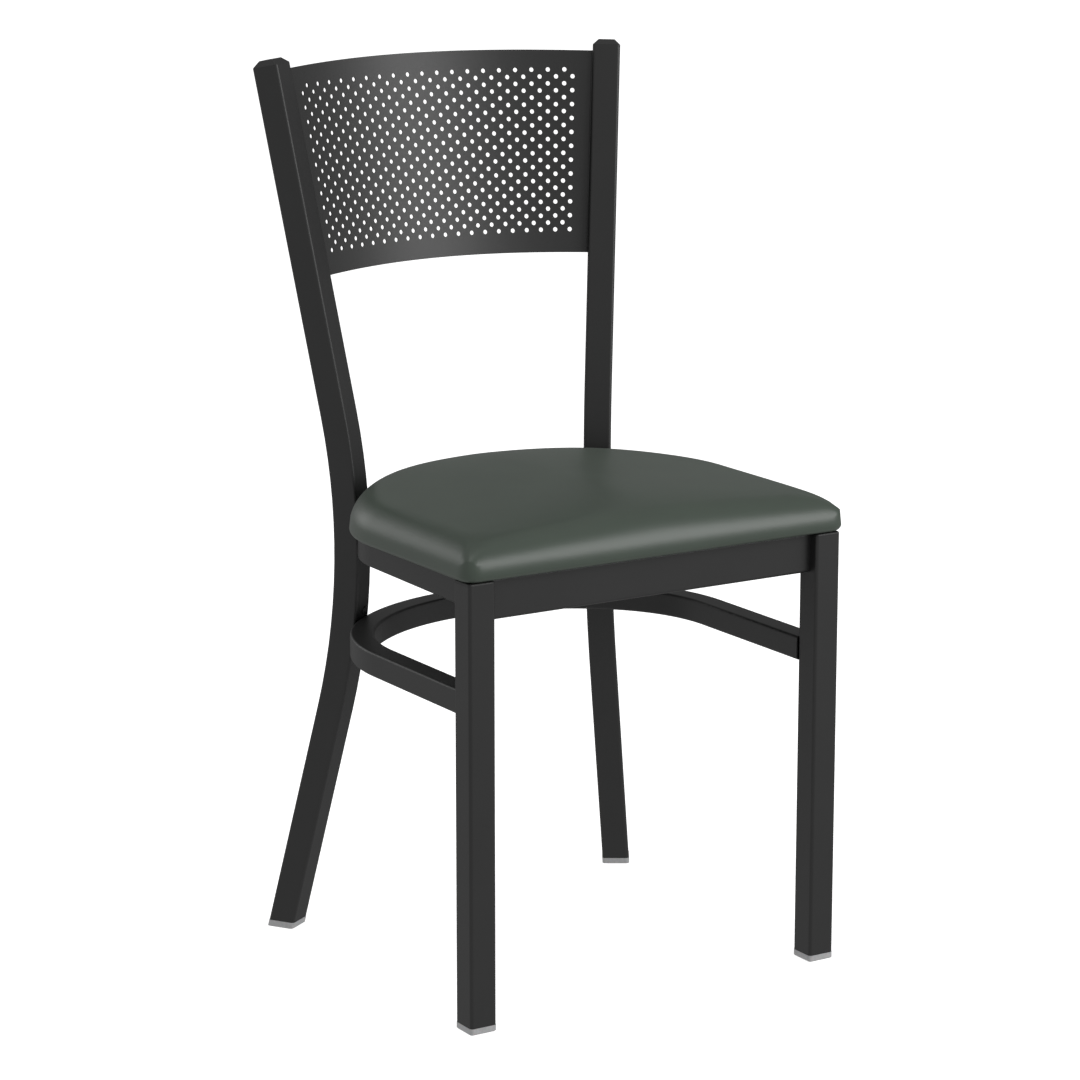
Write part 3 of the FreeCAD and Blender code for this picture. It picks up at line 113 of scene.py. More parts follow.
class ChairCushion(bpy.types.PropertyGroup):
    """Sizes of the cushion"""
    half_width: bpy.props.FloatProperty(
        name="Half Width", description="Middle of the cushion to its side", default=0.2062,
        subtype="DISTANCE", unit="LENGTH")
    depth: bpy.props.FloatProperty(
        name="Depth", description="Cushion from front to back", default=0.3478,
        subtype="DISTANCE", unit="LENGTH")
    front_corner: bpy.props.FloatProperty(
        name="Front Corner", description="Radius of the front corners seen from above", default=0.015,
        subtype="DISTANCE", unit="LENGTH")
    rear_corner: bpy.props.FloatProperty(
        name="Rear Corner", description="Radius of the rear corners seen from above", default=0.1165,
        subtype="DISTANCE", unit="LENGTH")
    back_arc: bpy.props.FloatProperty(
        name="Back Arc", description="Radius of the back edge seen from above", default=0.2195,
        subtype="DISTANCE", unit="LENGTH")
    girth: bpy.props.FloatProperty(
        name="Girth Height", description="Widest line of the cushion above its underside", default=0.0056,
        subtype="DISTANCE", unit="LENGTH")
    wall: bpy.props.FloatProperty(
        name="Wall", description="Rise of the rounded edge above the widest line",
        default=0.0276, subtype="DISTANCE", unit="LENGTH")
    wall_reach: bpy.props.FloatProperty(
        name="Wall Reach", description="Width of the rounded edge", default=0.0305,
        subtype="DISTANCE", unit="LENGTH")
    crown: bpy.props.FloatProperty(
        name="Crown", description="Further rise from the rounded edge to the middle", default=0.0155,
        subtype="DISTANCE", unit="LENGTH")
    crown_place: bpy.props.FloatProperty(
        name="Crown Place", description="Highest point behind the front edge", default=0.151,
        subtype="DISTANCE", unit="LENGTH")
    cover: bpy.props.FloatProperty(
        name="Cover Thickness", description="Thickness of the vinyl", default=0.0012,
        subtype="DISTANCE", unit="LENGTH")
    hem: bpy.props.FloatProperty(
        name="Hem", description="Vinyl turned in under the board", default=0.060,
        subtype="DISTANCE", unit="LENGTH")
    hem_corner: bpy.props.FloatProperty(
        name="Hem Corner", description="Radius of the hem's front corners", default=0.012,
        subtype="DISTANCE", unit="LENGTH")


class ChairColours(bpy.types.PropertyGroup):
    """Colours of the chair and the floor"""
    powder: bpy.props.StringProperty(
        name="Powder Coat", description="Colour of the coated frame, sRGB hex", default="#202020")
    vinyl: bpy.props.StringProperty(
        name="Vinyl", description="Colour of the seat cover, sRGB hex", default="#3b463c")
    cap: bpy.props.StringProperty(
        name="Black Plastic", description="Colour of caps and plugs, sRGB hex", default="#1d1d1d")
    glide: bpy.props.StringProperty(
        name="Grey Plastic", description="Colour of the foot glides, sRGB hex", default="#b2b2b3")
    foam: bpy.props.StringProperty(
        name="Foam", description="Colour of the foam, sRGB hex", default="#d9cda6")
    plywood: bpy.props.StringProperty(
        name="Plywood", description="Colour of the seat board, sRGB hex", default="#c19a68")
    dust_cloth: bpy.props.StringProperty(
        name="Dust Cloth", description="Colour of the cloth under the seat, sRGB hex", default="#191919")
    zinc: bpy.props.StringProperty(
        name="Zinc", description="Colour of screws and staples, sRGB hex", default="#b9bcc0")
    floor: bpy.props.StringProperty(
        name="Floor", description="Colour of the studio floor, sRGB hex", default="#f4f4f4")


class ChairStudio(bpy.types.PropertyGroup):
    """Camera and light of the studio"""
    camera_place: bpy.props.FloatVectorProperty(
        name="Camera", description="Where the camera stands", default=(-1.8100, -2.9010, 1.1726),
        subtype="TRANSLATION", unit="LENGTH")
    camera_turn: bpy.props.FloatProperty(
        name="Turn", description="Turn of the camera about the vertical", default=math.radians(-32.02),
        subtype="ANGLE", unit="ROTATION")
    camera_tilt: bpy.props.FloatProperty(
        name="Tilt", description="Tilt of the camera below the horizon", default=math.radians(12.866),
        subtype="ANGLE", unit="ROTATION")
    lens: bpy.props.FloatProperty(
        name="Lens", description="Focal length on a 36 mm sensor, in millimetres", default=123.17)
    front_sky: bpy.props.FloatProperty(
        name="Front Light", description="Brightness of the room in front of the chair", default=0.54)
    rear_sky: bpy.props.FloatProperty(
        name="Rear Light", description="Brightness of the room behind the chair", default=0.16)
    floor_glow: bpy.props.FloatProperty(
        name="Floor Glow", description="Light that the lit floor gives off", default=0.75)


# ---------------------------------------------------------------- colour and node helpers

def linear(hex_colour):
    """sRGB hex to linear RGBA."""
    channels = [int(hex_colour[i:i + 2], 16) / 255 for i in (1, 3, 5)]
    return tuple(c / 12.92 if c <= 0.04045 else ((c + 0.055) / 1.055) ** 2.4 for c in channels) + (1.0,)


def shade(hex_colour, factor):
    """Linear colour made darker or lighter by a factor."""
    return tuple(min(1.0, c * factor) for c in linear(hex_colour)[:3]) + (1.0,)


def drift(hex_colour, darkest, lightest):
    """Ramp stops for a colour that wanders between a darker and a lighter shade of itself."""
    return tuple(zip(DRIFT_SPAN, (shade(hex_colour, darkest), shade(hex_colour, lightest))))


def add_node(tree, kind, settings=None, links=None, stops=()):
    """Add a node; settings go to its properties or sockets, links feed sockets, stops fill a ramp."""
    node = tree.nodes.new(kind)
    for key, value in (settings or {}).items():
        if isinstance(key, str) and hasattr(node, key):
            setattr(node, key, value)
        else:
            node.inputs[key].default_value = value
    for key, source in (links or {}).items():
        tree.links.new(source, node.inputs[key])
    if stops:
        for element, (position, colour) in zip(node.color_ramp.elements, stops):
            element.position = position
            element.color = colour
    return node


def new_material(name):
    """Empty material; returns it, its node tree and the object coordinates in metres."""
    material = bpy.data.materials.new(name)
    material.use_nodes = True
    tree = material.node_tree
    tree.nodes.clear()
    return material, tree, add_node(tree, "ShaderNodeTexCoord").outputs["Object"]


def carry(nodes, material):
    """Give CAD pieces a material."""
    for name in nodes:
        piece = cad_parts[name]
        if not piece.data.materials:
            piece.data.materials.append(material)
        for slot in piece.material_slots:
            slot.material = material


# ---------------------------------------------------------------- materials

def satin_powder_coat(colours):
    """Sprayed and baked powder: a soft satin with a faint orange peel, an even black."""
    material, tree, place = new_material("satin_powder_coat_on_steel")
    peel = add_node(tree, "ShaderNodeTexNoise", {"Scale": 1 / (1.6 * MM), "Detail": 2.0, "Roughness": 0.5},
                    {"Vector": place})
    cloud = add_node(tree, "ShaderNodeTexNoise", {"Scale": 1 / (60 * MM), "Detail": 3.0, "Roughness": 0.55},
                     {"Vector": place})
    tint = add_node(tree, "ShaderNodeValToRGB", links={"Fac": cloud.outputs["Fac"]},
                    stops=drift(colours.powder, 0.93, 1.07))
    gloss = add_node(tree, "ShaderNodeMapRange", {"To Min": 0.38, "To Max": 0.46},
                     {"Value": peel.outputs["Fac"]})
    bump = add_node(tree, "ShaderNodeBump", {"Distance": 0.03 * MM, "Strength": 0.5},
                    {"Height": peel.outputs["Fac"]})
    shader = add_node(tree, "ShaderNodeBsdfPrincipled", {"IOR": 1.5, "Specular IOR Level": 0.5},
                      {"Base Color": tint.outputs["Color"], "Roughness": gloss.outputs["Result"],
                       "Normal": bump.outputs["Normal"]})
    add_node(tree, "ShaderNodeOutputMaterial", links={"Surface": shader.outputs["BSDF"]})
    return material


def moulded_black_plastic(colours):
    """Injection-moulded polypropylene: spark-eroded grain that scatters the light."""
    material, tree, place = new_material("moulded_black_polypropylene")
    # The real grain, about 0.1 mm, is too fine to show and is drawn coarser.
    grain = add_node(tree, "ShaderNodeTexNoise", {"Scale": 1 / (0.5 * MM), "Detail": 2.0, "Roughness": 0.6},
                     {"Vector": place})
    tint = add_node(tree, "ShaderNodeValToRGB", links={"Fac": grain.outputs["Fac"]},
                    stops=drift(colours.cap, 0.9, 1.1))
    gloss = add_node(tree, "ShaderNodeMapRange", {"To Min": 0.45, "To Max": 0.56},
                     {"Value": grain.outputs["Fac"]})
    bump = add_node(tree, "ShaderNodeBump", {"Distance": 0.02 * MM, "Strength": 0.5},
                    {"Height": grain.outputs["Fac"]})
    shader = add_node(tree, "ShaderNodeBsdfPrincipled", {"IOR": 1.49},
                      {"Base Color": tint.outputs["Color"], "Roughness": gloss.outputs["Result"],
                       "Normal": bump.outputs["Normal"]})
    add_node(tree, "ShaderNodeOutputMaterial", links={"Surface": shader.outputs["BSDF"]})
    return material


def moulded_grey_plastic(colours):
    """Injection-moulded polyethylene: waxy grey, slightly see-through at its edges, scuffed below."""
    material, tree, place = new_material("moulded_grey_polyethylene")
    scuff = add_node(tree, "ShaderNodeTexNoise", {"Scale": 1 / (3 * MM), "Detail": 4.0, "Roughness": 0.6},
                     {"Vector": place})
    tint = add_node(tree, "ShaderNodeValToRGB", links={"Fac": scuff.outputs["Fac"]},
                    stops=drift(colours.glide, 0.88, 1.08))
    gloss = add_node(tree, "ShaderNodeMapRange", {"To Min": 0.4, "To Max": 0.6},
                     {"Value": scuff.outputs["Fac"]})
    bump = add_node(tree, "ShaderNodeBump", {"Distance": 0.05 * MM, "Strength": 0.4},
                    {"Height": scuff.outputs["Fac"]})
    shader = add_node(tree, "ShaderNodeBsdfPrincipled",
                      {"IOR": 1.51, "Subsurface Weight": 0.05, "Subsurface Scale": 2 * MM},
                      {"Base Color": tint.outputs["Color"], "Roughness": gloss.outputs["Result"],
                       "Normal": bump.outputs["Normal"]})
    add_node(tree, "ShaderNodeOutputMaterial", links={"Surface": shader.outputs["BSDF"]})
    return material


def embossed_vinyl(colours):
    """Calendered vinyl with a fine embossed grain: a deep green with a broad silky sheen."""
    material, tree, place = new_material("embossed_vinyl_upholstery")
    pebble = add_node(tree, "ShaderNodeTexVoronoi", {"feature": "DISTANCE_TO_EDGE", "Scale": 1 / (1.1 * MM)},
                      {"Vector": place})
    fine = add_node(tree, "ShaderNodeTexNoise", {"Scale": 1 / (0.7 * MM), "Detail": 3.0, "Roughness": 0.6},
                    {"Vector": place})
    cloud = add_node(tree, "ShaderNodeTexNoise", {"Scale": 1 / (45 * MM), "Detail": 3.0, "Roughness": 0.5},
                     {"Vector": place})
    tint = add_node(tree, "ShaderNodeValToRGB", links={"Fac": cloud.outputs["Fac"]},
                    stops=drift(colours.vinyl, 0.95, 1.05))
    gloss = add_node(tree, "ShaderNodeMapRange", {"To Min": 0.32, "To Max": 0.42},
                     {"Value": fine.outputs["Fac"]})
    edge = add_node(tree, "ShaderNodeMapRange", {"From Max": 0.12}, {"Value": pebble.outputs["Distance"]})
    grain = add_node(tree, "ShaderNodeMath", {"operation": "MULTIPLY_ADD", 1: 0.35},
                     {0: fine.outputs["Fac"], 2: edge.outputs["Result"]})
    bump = add_node(tree, "ShaderNodeBump", {"Distance": 0.03 * MM, "Strength": 0.35},
                    {"Height": grain.outputs["Value"]})
    shader = add_node(tree, "ShaderNodeBsdfPrincipled",
                      {"IOR": 1.53, "Sheen Weight": 0.05, "Sheen Roughness": 0.5},
                      {"Base Color": tint.outputs["Color"], "Roughness": gloss.outputs["Result"],
                       "Normal": bump.outputs["Normal"]})
    add_node(tree, "ShaderNodeOutputMaterial", links={"Surface": shader.outputs["BSDF"]})
    return material


def cut_foam(colours):
    """Open-cell foam cut from a block: pale, dull and full of small pores."""
    material, tree, place = new_material("cut_open_cell_foam")
    pores = add_node(tree, "ShaderNodeTexNoise", {"Scale": 1 / (1.2 * MM), "Detail": 3.0, "Roughness": 0.6},
                     {"Vector": place})
    tint = add_node(tree, "ShaderNodeValToRGB", links={"Fac": pores.outputs["Fac"]},
                    stops=drift(colours.foam, 0.75, 1.1))
    bump = add_node(tree, "ShaderNodeBump", {"Distance": 0.4 * MM, "Strength": 0.7},
                    {"Height": pores.outputs["Fac"]})
    shader = add_node(tree, "ShaderNodeBsdfPrincipled", {"IOR": 1.45, "Roughness": 0.95},
                      {"Base Color": tint.outputs["Color"], "Normal": bump.outputs["Normal"]})
    add_node(tree, "ShaderNodeOutputMaterial", links={"Surface": shader.outputs["BSDF"]})
    return material


def raw_plywood(colours):
    """Sawn birch plywood: long pale grain, unsealed and dry."""
    material, tree, place = new_material("raw_birch_plywood")
    along = add_node(tree, "ShaderNodeMapping", {"Scale": (0.06, 1.0, 1.0)}, {"Vector": place})
    grain = add_node(tree, "ShaderNodeTexNoise", {"Scale": 1 / (2.5 * MM), "Detail": 4.0, "Roughness": 0.6},
                     {"Vector": along.outputs["Vector"]})
    tint = add_node(tree, "ShaderNodeValToRGB", links={"Fac": grain.outputs["Fac"]},
                    stops=drift(colours.plywood, 0.8, 1.08))
    gloss = add_node(tree, "ShaderNodeMapRange", {"To Min": 0.62, "To Max": 0.8},
                     {"Value": grain.outputs["Fac"]})
    bump = add_node(tree, "ShaderNodeBump", {"Distance": 0.08 * MM, "Strength": 0.5},
                    {"Height": grain.outputs["Fac"]})
    shader = add_node(tree, "ShaderNodeBsdfPrincipled", {"IOR": 1.5},
                      {"Base Color": tint.outputs["Color"], "Roughness": gloss.outputs["Result"],
                       "Normal": bump.outputs["Normal"]})
    add_node(tree, "ShaderNodeOutputMaterial", links={"Surface": shader.outputs["BSDF"]})
    return material


def pressed_dust_cloth(colours):
    """Spun-bonded polypropylene: thin black felt pressed with a grid of small dots."""
    material, tree, place = new_material("spun_bonded_dust_cloth")
    fibre = add_node(tree, "ShaderNodeTexNoise", {"Scale": 1 / (1.5 * MM), "Detail": 4.0, "Roughness": 0.65},
                     {"Vector": place})
    dots = add_node(tree, "ShaderNodeTexVoronoi", {"Scale": 1 / (2.2 * MM), "Randomness": 0.0},
                    {"Vector": place})
    tint = add_node(tree, "ShaderNodeValToRGB", links={"Fac": fibre.outputs["Fac"]},
                    stops=drift(colours.dust_cloth, 0.8, 1.4))
    bump = add_node(tree, "ShaderNodeBump", {"Distance": 0.15 * MM, "Strength": 0.5},
                    {"Height": dots.outputs["Distance"]})
    shader = add_node(tree, "ShaderNodeBsdfPrincipled",
                      {"IOR": 1.49, "Roughness": 0.85, "Sheen Weight": 0.2},
                      {"Base Color": tint.outputs["Color"], "Normal": bump.outputs["Normal"]})
    add_node(tree, "ShaderNodeOutputMaterial", links={"Surface": shader.outputs["BSDF"]})
    return material


def plated_zinc(colours):
    """Electroplated zinc on steel: bright, a little streaked."""
    material, tree, place = new_material("zinc_plated_steel")
    streak = add_node(tree, "ShaderNodeTexNoise", {"Scale": 1 / (2 * MM), "Detail": 3.0, "Roughness": 0.5},
                      {"Vector": place})
    tint = add_node(tree, "ShaderNodeValToRGB", links={"Fac": streak.outputs["Fac"]},
                    stops=drift(colours.zinc, 0.85, 1.05))
    gloss = add_node(tree, "ShaderNodeMapRange", {"To Min": 0.22, "To Max": 0.4},
                     {"Value": streak.outputs["Fac"]})
    shader = add_node(tree, "ShaderNodeBsdfPrincipled", {"Metallic": 1.0},
                      {"Base Color": tint.outputs["Color"], "Roughness": gloss.outputs["Result"]})
    add_node(tree, "ShaderNodeOutputMaterial", links={"Surface": shader.outputs["BSDF"]})
    return material


def matt_paper(colours, glow):
    """Matt background paper: an even white that gives off the light falling on it."""
    material, tree, place = new_material("matt_paper_floor")
    fibre = add_node(tree, "ShaderNodeTexNoise", {"Scale": 1 / (300 * MM), "Detail": 2.0, "Roughness": 0.5},
                     {"Vector": place})
    tint = add_node(tree, "ShaderNodeValToRGB", links={"Fac": fibre.outputs["Fac"]},
                    stops=drift(colours.floor, 0.99, 1.0))
    shader = add_node(tree, "ShaderNodeBsdfPrincipled",
                      {"Roughness": 0.9, "IOR": 1.4, "Emission Color": WHITE, "Emission Strength": glow},
                      {"Base Color": tint.outputs["Color"]})
    add_node(tree, "ShaderNodeOutputMaterial", links={"Surface": shader.outputs["BSDF"]})
    return material


# ---------------------------------------------------------------- cushion's shape

def outline_corner_points(half_width, depth, corner, back):
    """Centres of the rear corners and of the back arc, and the angle where the two arcs join."""
    corner_x = half_width - corner
    back_y = depth - back
    climb = math.sqrt((back - corner) ** 2 - corner_x ** 2)
    return corner_x, back_y + climb, back_y, math.atan2(climb, corner_x)


def line_run(start, end):
    """Length of a straight run of an outline, and the function that walks it."""
    return (end - start).length, lambda part: start.lerp(end, part)


def arc_run(centre, radius, start, end):
    """Length of a round run of an outline, and the function that walks it."""
    def walk(part):
        angle = start + (end - start) * part
        return centre + Vector((math.cos(angle), math.sin(angle))) * radius
    return radius * (end - start), walk


def seat_outline(cushion, inset, count):
    """Evenly spaced points round the cushion, counter-clockwise from the middle of the front."""
    side = cushion.half_width - inset
    corner = cushion.rear_corner - inset
    back = cushion.back_arc - inset
    least = cushion.hem_corner if inset > HEM_CORNER_FROM else TUCK_CORNER
    small = max(cushion.front_corner - inset, least)
    corner_x, corner_y, back_y, join = outline_corner_points(side, cushion.depth - inset, corner, back)
    front, turn = inset, inset + small
    runs = [
        line_run(Vector((0, front)), Vector((side - small, front))),
        arc_run(Vector((side - small, turn)), small, -math.pi / 2, 0.0),
        line_run(Vector((side, turn)), Vector((side, corner_y))),
        arc_run(Vector((corner_x, corner_y)), corner, 0.0, join),
        arc_run(Vector((0, back_y)), back, join, math.pi - join),
        arc_run(Vector((-corner_x, corner_y)), corner, math.pi - join, math.pi),
        line_run(Vector((-side, corner_y)), Vector((-side, turn))),
        arc_run(Vector((small - side, turn)), small, math.pi, 1.5 * math.pi),
        line_run(Vector((small - side, front)), Vector((0, front))),
    ]
    total = sum(length for length, _ in runs)
    points = []
    for number in range(count):
        travel = total * number / count
        for length, walk in runs:
            if travel <= length:
                break
            travel -= length
        points.append(walk(travel / length))
    return points


def smooth_least(a, b, soft):
    """The lesser of two lengths, with the corner between them rounded."""
    gap = max(soft - abs(a - b), 0.0) / soft
    return min(a, b) - gap * gap * soft / 4


def depth_inside(cushion, x, y):
    """Distance from a point to the cushion's outline, its front hips softened."""
    corner_x, corner_y, back_y, join = outline_corner_points(
        cushion.half_width, cushion.depth, cushion.rear_corner, cushion.back_arc)
    x = abs(x)
    side = cushion.half_width - x
    back = cushion.back_arc - math.hypot(x, y - back_y)
    if y > corner_y:
        on_back_arc = x < corner_x or math.atan2(y - back_y, x) >= join
        side = back if on_back_arc else cushion.rear_corner - math.hypot(x - corner_x, y - corner_y)
    elif y > back_y and x < corner_x:
        side = min(side, back)
    spread = min(HIP_SOFTNESS, max(min(y, side) * HIP_SPREAD, TINY))
    return max(smooth_least(y, side, spread), 0.0)


def seat_height(cushion, x, y, inside):
    """Height of the cushion's top above its widest line."""
    edge = min(inside / cushion.wall_reach, 1.0)
    rise = cushion.wall * math.sqrt(max(1 - (1 - edge) ** EDGE_FULLNESS, 0.0))
    across = math.sqrt(x * x + RIDGE_ROUNDING ** 2) / cushion.half_width
    along = (y - cushion.crown_place) / cushion.crown_place
    if along > 0:
        along *= cushion.crown_place / (cushion.depth - cushion.crown_place)
    swell = (max(1 - across ** CROWN_ACROSS, 0.0)
             * max(1 - min(abs(along), 1.0) ** CROWN_ALONG, 0.0))
    return rise + cushion.crown * swell


def lofted(name, rings, cap_first, cap_last):
    """Mesh through rings of equal point counts, closed at either end with a centre point."""
    work = bmesh.new()
    rows = [[work.verts.new(point) for point in ring] for ring in rings]
    count = len(rows[0])
    for below, above in zip(rows[:-1], rows[1:]):
        for n in range(count):
            m = (n + 1) % count
            work.faces.new((below[n], below[m], above[m], above[n]))
    for cap, row in ((cap_first, rows[0]), (cap_last, rows[-1])):
        if not cap:
            continue
        middle = work.verts.new(sum((v.co for v in row), Vector()) / count)
        for n in range(count):
            work.faces.new((row[n], row[(n + 1) % count], middle))
    bmesh.ops.recalc_face_normals(work, faces=work.faces)
    mesh = bpy.data.meshes.new(name)
    work.to_mesh(mesh)
    work.free()
    for face in mesh.polygons:
        face.use_smooth = True
    piece = bpy.data.objects.new(name, mesh)
    bpy.context.scene.collection.objects.link(piece)
    return piece


def top_rings(cushion, origin, sink):
    """Rings from the widest line up to the middle of the crown, sunk inwards by a thickness."""
    outline = seat_outline(cushion, sink, CUSHION_POINTS)
    middle = Vector((0, cushion.depth * LAST_RING_PLACE))
    rings = [[Vector((p.x, p.y, cushion.girth - sink)) + origin for p in outline]]
    for level in range(1, CUSHION_LEVELS):
        climbed = level / CUSHION_LEVELS
        pull = EDGE_CROWDING * climbed ** CROWDING_POWER + (1 - EDGE_CROWDING) * climbed
        ring = []
        for point in outline:
            spot = point.lerp(middle, pull)
            inside = max(depth_inside(cushion, spot.x, spot.y) - sink, 0.0)
            lift = seat_height(cushion, spot.x, spot.y, inside)
            ring.append(Vector((spot.x, spot.y, cushion.girth + lift - sink)) + origin)
        rings.append(ring)
    return rings


def cloth_rings(outline, middle, front, height, ripple):
    """One face of the dust cloth, gathered a little between the staples near its edge."""
    rings = []
    for pull in CLOTH_PULLS:
        swell = ripple * pull * math.exp(-pull * RIPPLE_FADE) * RIPPLE_FADE
        ring = []
        for number, point in enumerate(outline):
            spot = point.lerp(middle, pull)
            wave = swell * math.sin(number * math.pi / RIPPLE_POINTS)
            ring.append(Vector((spot.x, spot.y + front, height + wave)))
        rings.append(ring)
    return rings


# ---------------------------------------------------------------- operators

class CHAIR_OT_frame(bpy.types.Operator):
    """Coat the welded frame"""
    bl_idname = "chair.frame"
    bl_label = "Coat Frame"

    def execute(self, context):
        carry(WELDED_FRAME, satin_powder_coat(context.scene.chair_colours))
        return {"FINISHED"}


class CHAIR_OT_welds(bpy.types.Operator):
    """Lay the weld beads that join the back panel to the posts"""
    bl_idname = "chair.welds"
    bl_label = "Lay Welds"

    def execute(self, context):
        corners = [vertex.co.copy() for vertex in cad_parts["back_panel"].data.vertices]
        material = bpy.data.materials.get("satin_powder_coat_on_steel")
        if material is None:
            raise RuntimeError("coat the frame before the welds")
        for side, hand in (("left", -1), ("right", 1)):
            top = max(corners, key=lambda point: point.x * hand)
            low = min((point for point in corners if point.x * hand > 0), key=lambda point: point.z)
            bead = bpy.data.curves.new("panel_weld_" + side, "CURVE")
            bead.dimensions = "3D"
            bead.bevel_depth = context.scene.chair_frame.weld_bead
            bead.bevel_resolution = 3
            bead.use_fill_caps = True
            line = bead.splines.new("POLY")
            line.points.add(1)
            line.points[0].co = (*low, 1)
            line.points[1].co = (*top, 1)
            bead.materials.append(material)
            piece = bpy.data.objects.new("panel_weld_" + side, bead)
            context.scene.collection.objects.link(piece)
            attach(piece, "root")
        return {"FINISHED"}


class CHAIR_OT_fittings(bpy.types.Operator):
    """Give the caps, plugs, glides and fasteners their finish"""
    bl_idname = "chair.fittings"
    bl_label = "Finish Fittings"

    def execute(self, context):
        colours = context.scene.chair_colours
        carry(BLACK_PLASTIC, moulded_black_plastic(colours))
        carry(GREY_PLASTIC, moulded_grey_plastic(colours))
        carry(("seat_board",), raw_plywood(colours))
        carry(("seat_screws", "seat_staples"), plated_zinc(colours))
        return {"FINISHED"}


class CHAIR_OT_cushion(bpy.types.Operator):
    """Build the foam and the stretched vinyl cover"""
    bl_idname = "chair.cushion"
    bl_label = "Build Cushion"

    def execute(self, context):
        cushion = context.scene.chair_cushion
        colours = context.scene.chair_colours
        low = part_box("seat_cover")[0]
        origin = Vector((0, low.y, low.z))
        under = [[Vector((p.x, p.y, height)) + origin
                  for p in seat_outline(cushion, inset, CUSHION_POINTS)]
                 for inset, height in UNDERSIDE + ((cushion.hem, 0.0),)]
        cover = lofted("seat_cover_vinyl", under[::-1] + top_rings(cushion, origin, 0.0), False, True)
        cover.data.materials.append(embossed_vinyl(colours))
        shell = cover.modifiers.new("vinyl_thickness", "SOLIDIFY")
        shell.thickness = cushion.cover
        shell.offset = -1.0
        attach(cover, "root")
        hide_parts("seat_cover")

        seat = origin.z + (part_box("seat_board")[1].z - origin.z + BOARD_GAP)
        rings = [[Vector((p.x, p.y, max(p.z, seat))) for p in ring]
                 for ring in top_rings(cushion, origin, cushion.cover + FOAM_GAP)]
        foam = lofted("seat_foam_block", rings[:1] + rings[FOAM_FROM_LEVEL:], True, True)
        foam.data.materials.append(cut_foam(colours))
        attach(foam, "root")
        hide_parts("seat_foam")
        return {"FINISHED"}


class CHAIR_OT_dust_cloth(bpy.types.Operator):
    """Stretch the dust cloth under the seat board"""
    bl_idname = "chair.dust_cloth"
    bl_label = "Stretch Dust Cloth"

    def execute(self, context):
        cushion = context.scene.chair_cushion
        low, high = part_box("dust_cover")
        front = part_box("seat_cover")[0].y
        outline = seat_outline(cushion, low.y - front, CLOTH_POINTS)
        middle = Vector((0, (low.y + high.y) / 2 - front))
        lower = cloth_rings(outline, middle, front, low.z + CLOTH_RIPPLE, CLOTH_RIPPLE)
        upper = cloth_rings(outline, middle, front, high.z - CLOTH_RIPPLE, CLOTH_RIPPLE)
        sheet = lofted("dust_cloth", lower[::-1] + upper, True, True)
        sheet.data.materials.append(pressed_dust_cloth(context.scene.chair_colours))
        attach(sheet, "root")
        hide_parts("dust_cover")
        return {"FINISHED"}


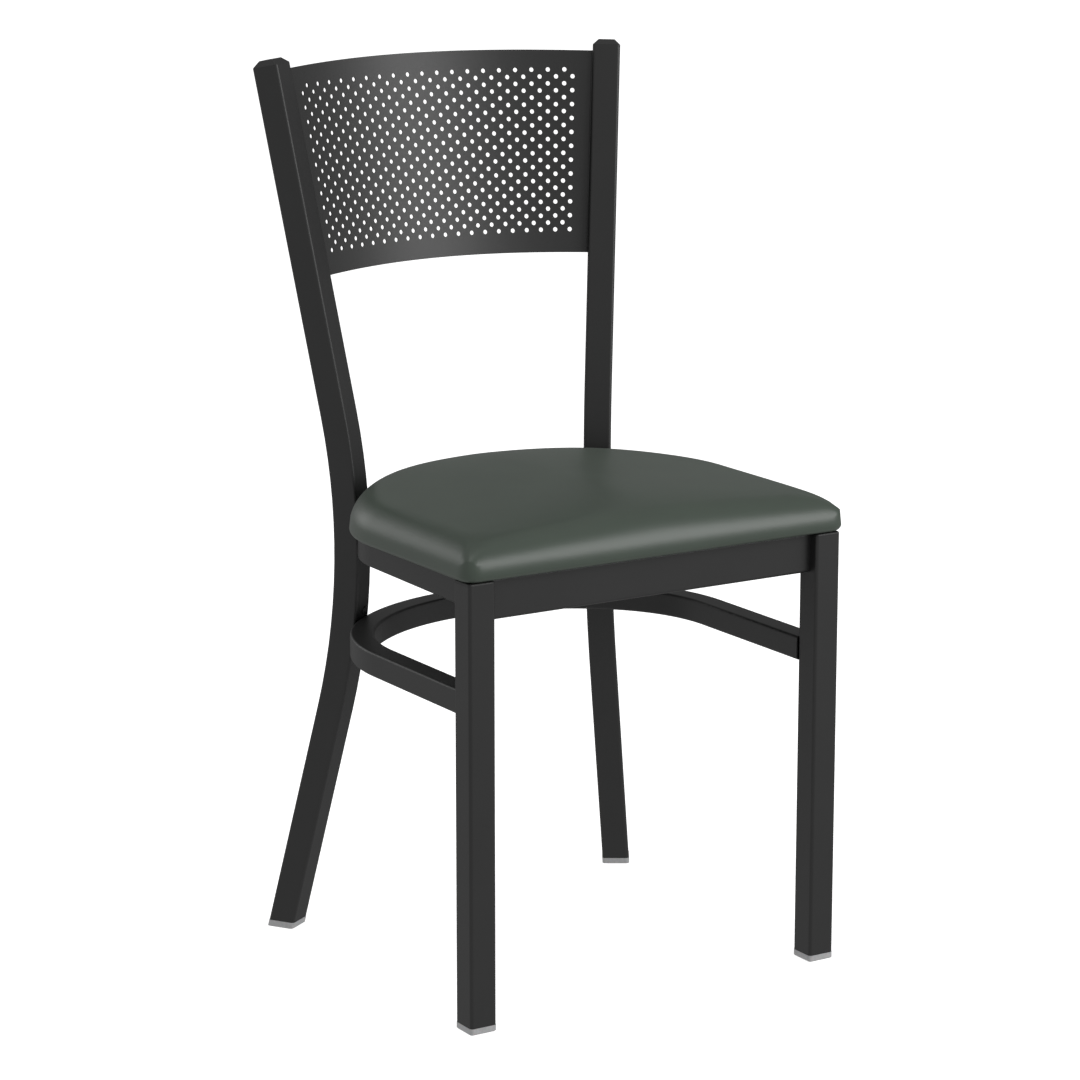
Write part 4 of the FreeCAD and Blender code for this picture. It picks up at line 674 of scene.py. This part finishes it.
class CHAIR_OT_studio(bpy.types.Operator):
    """Set up the floor, the lights and the camera"""
    bl_idname = "chair.studio"
    bl_label = "Set Up Studio"

    def execute(self, context):
        scene = context.scene
        studio = scene.chair_studio

        work = bmesh.new()
        corners = [work.verts.new((x * FLOOR_REACH, y * FLOOR_REACH, -FLOOR_DROP))
                   for x, y in ((-1, -1), (1, -1), (1, 1), (-1, 1))]
        work.faces.new(corners)
        mesh = bpy.data.meshes.new("studio_floor")
        work.to_mesh(mesh)
        work.free()
        mesh.materials.append(matt_paper(scene.chair_colours, studio.floor_glow))
        floor = bpy.data.objects.new("studio_floor", mesh)
        scene.collection.objects.link(floor)
        floor.visible_glossy = False
        floor.visible_diffuse = False

        world = bpy.data.worlds.new("studio_room")
        world.use_nodes = True
        scene.world = world
        tree = world.node_tree
        tree.nodes.clear()
        direction = add_node(tree, "ShaderNodeTexCoord").outputs["Generated"]
        behind = add_node(tree, "ShaderNodeVectorMath", {"operation": "DOT_PRODUCT", 1: SKY_DIRECTION},
                          {0: direction})
        fade = add_node(tree, "ShaderNodeMapRange",
                        {"From Min": SKY_FADE_FROM, "From Max": 1.0, "To Min": studio.front_sky,
                         "To Max": studio.rear_sky}, {"Value": behind.outputs["Value"]})
        room = add_node(tree, "ShaderNodeBackground", {"Color": WHITE},
                        {"Strength": fade.outputs["Result"]})
        add_node(tree, "ShaderNodeOutputWorld", links={"Surface": room.outputs["Background"]})

        for name, place, aim, width, height, watts in LAMPS:
            lamp = bpy.data.lights.new(name, "AREA")
            lamp.shape = "RECTANGLE"
            lamp.size = width
            lamp.size_y = height
            lamp.energy = watts
            light = bpy.data.objects.new(name, lamp)
            light.location = place
            light.rotation_euler = (Vector(aim) - Vector(place)).to_track_quat("-Z", "Y").to_euler()
            scene.collection.objects.link(light)

        lens = bpy.data.cameras.new("studio_camera")
        lens.sensor_width = 36.0
        lens.lens = studio.lens
        lens.clip_start = 0.1
        lens.clip_end = 100.0
        camera = bpy.data.objects.new("studio_camera", lens)
        camera.location = studio.camera_place
        camera.rotation_euler = (math.pi / 2 - studio.camera_tilt, 0.0, studio.camera_turn)
        scene.collection.objects.link(camera)
        scene.camera = camera
        scene.view_settings.view_transform = "Standard"
        return {"FINISHED"}


class CHAIR_PT_panel(bpy.types.Panel):
    """Buttons and sizes of the chair"""
    bl_idname = "CHAIR_PT_panel"
    bl_label = "Dining Chair"
    bl_space_type = "VIEW_3D"
    bl_region_type = "UI"
    bl_category = "Chair"

    def draw(self, context):
        for operator in OPERATORS:
            self.layout.operator(operator.bl_idname)
        for group, _ in GROUPS:
            settings = getattr(context.scene, group)
            for name in settings.__annotations__:
                self.layout.prop(settings, name)


GROUPS = (("chair_frame", ChairFrame), ("chair_cushion", ChairCushion),
          ("chair_colours", ChairColours), ("chair_studio", ChairStudio))
OPERATORS = (CHAIR_OT_studio, CHAIR_OT_frame, CHAIR_OT_welds, CHAIR_OT_fittings, CHAIR_OT_cushion,
             CHAIR_OT_dust_cloth)


def register():
    """Add the sizes, the operators and the panel to Blender."""
    for name, group in GROUPS:
        bpy.utils.register_class(group)
        setattr(bpy.types.Scene, name, bpy.props.PointerProperty(type=group))
    for item in OPERATORS + (CHAIR_PT_panel,):
        bpy.utils.register_class(item)


def unregister():
    """Take them away again, in reverse order."""
    for item in (CHAIR_PT_panel,) + OPERATORS[::-1]:
        bpy.utils.unregister_class(item)
    for name, group in GROUPS[::-1]:
        delattr(bpy.types.Scene, name)
        bpy.utils.unregister_class(group)


def main():
    """Dress the CAD pieces."""
    register()
    bpy.ops.chair.studio()
    bpy.ops.chair.frame()
    bpy.ops.chair.welds()
    bpy.ops.chair.fittings()
    bpy.ops.chair.cushion()
    bpy.ops.chair.dust_cloth()


if __name__ == "__main__":
    main()
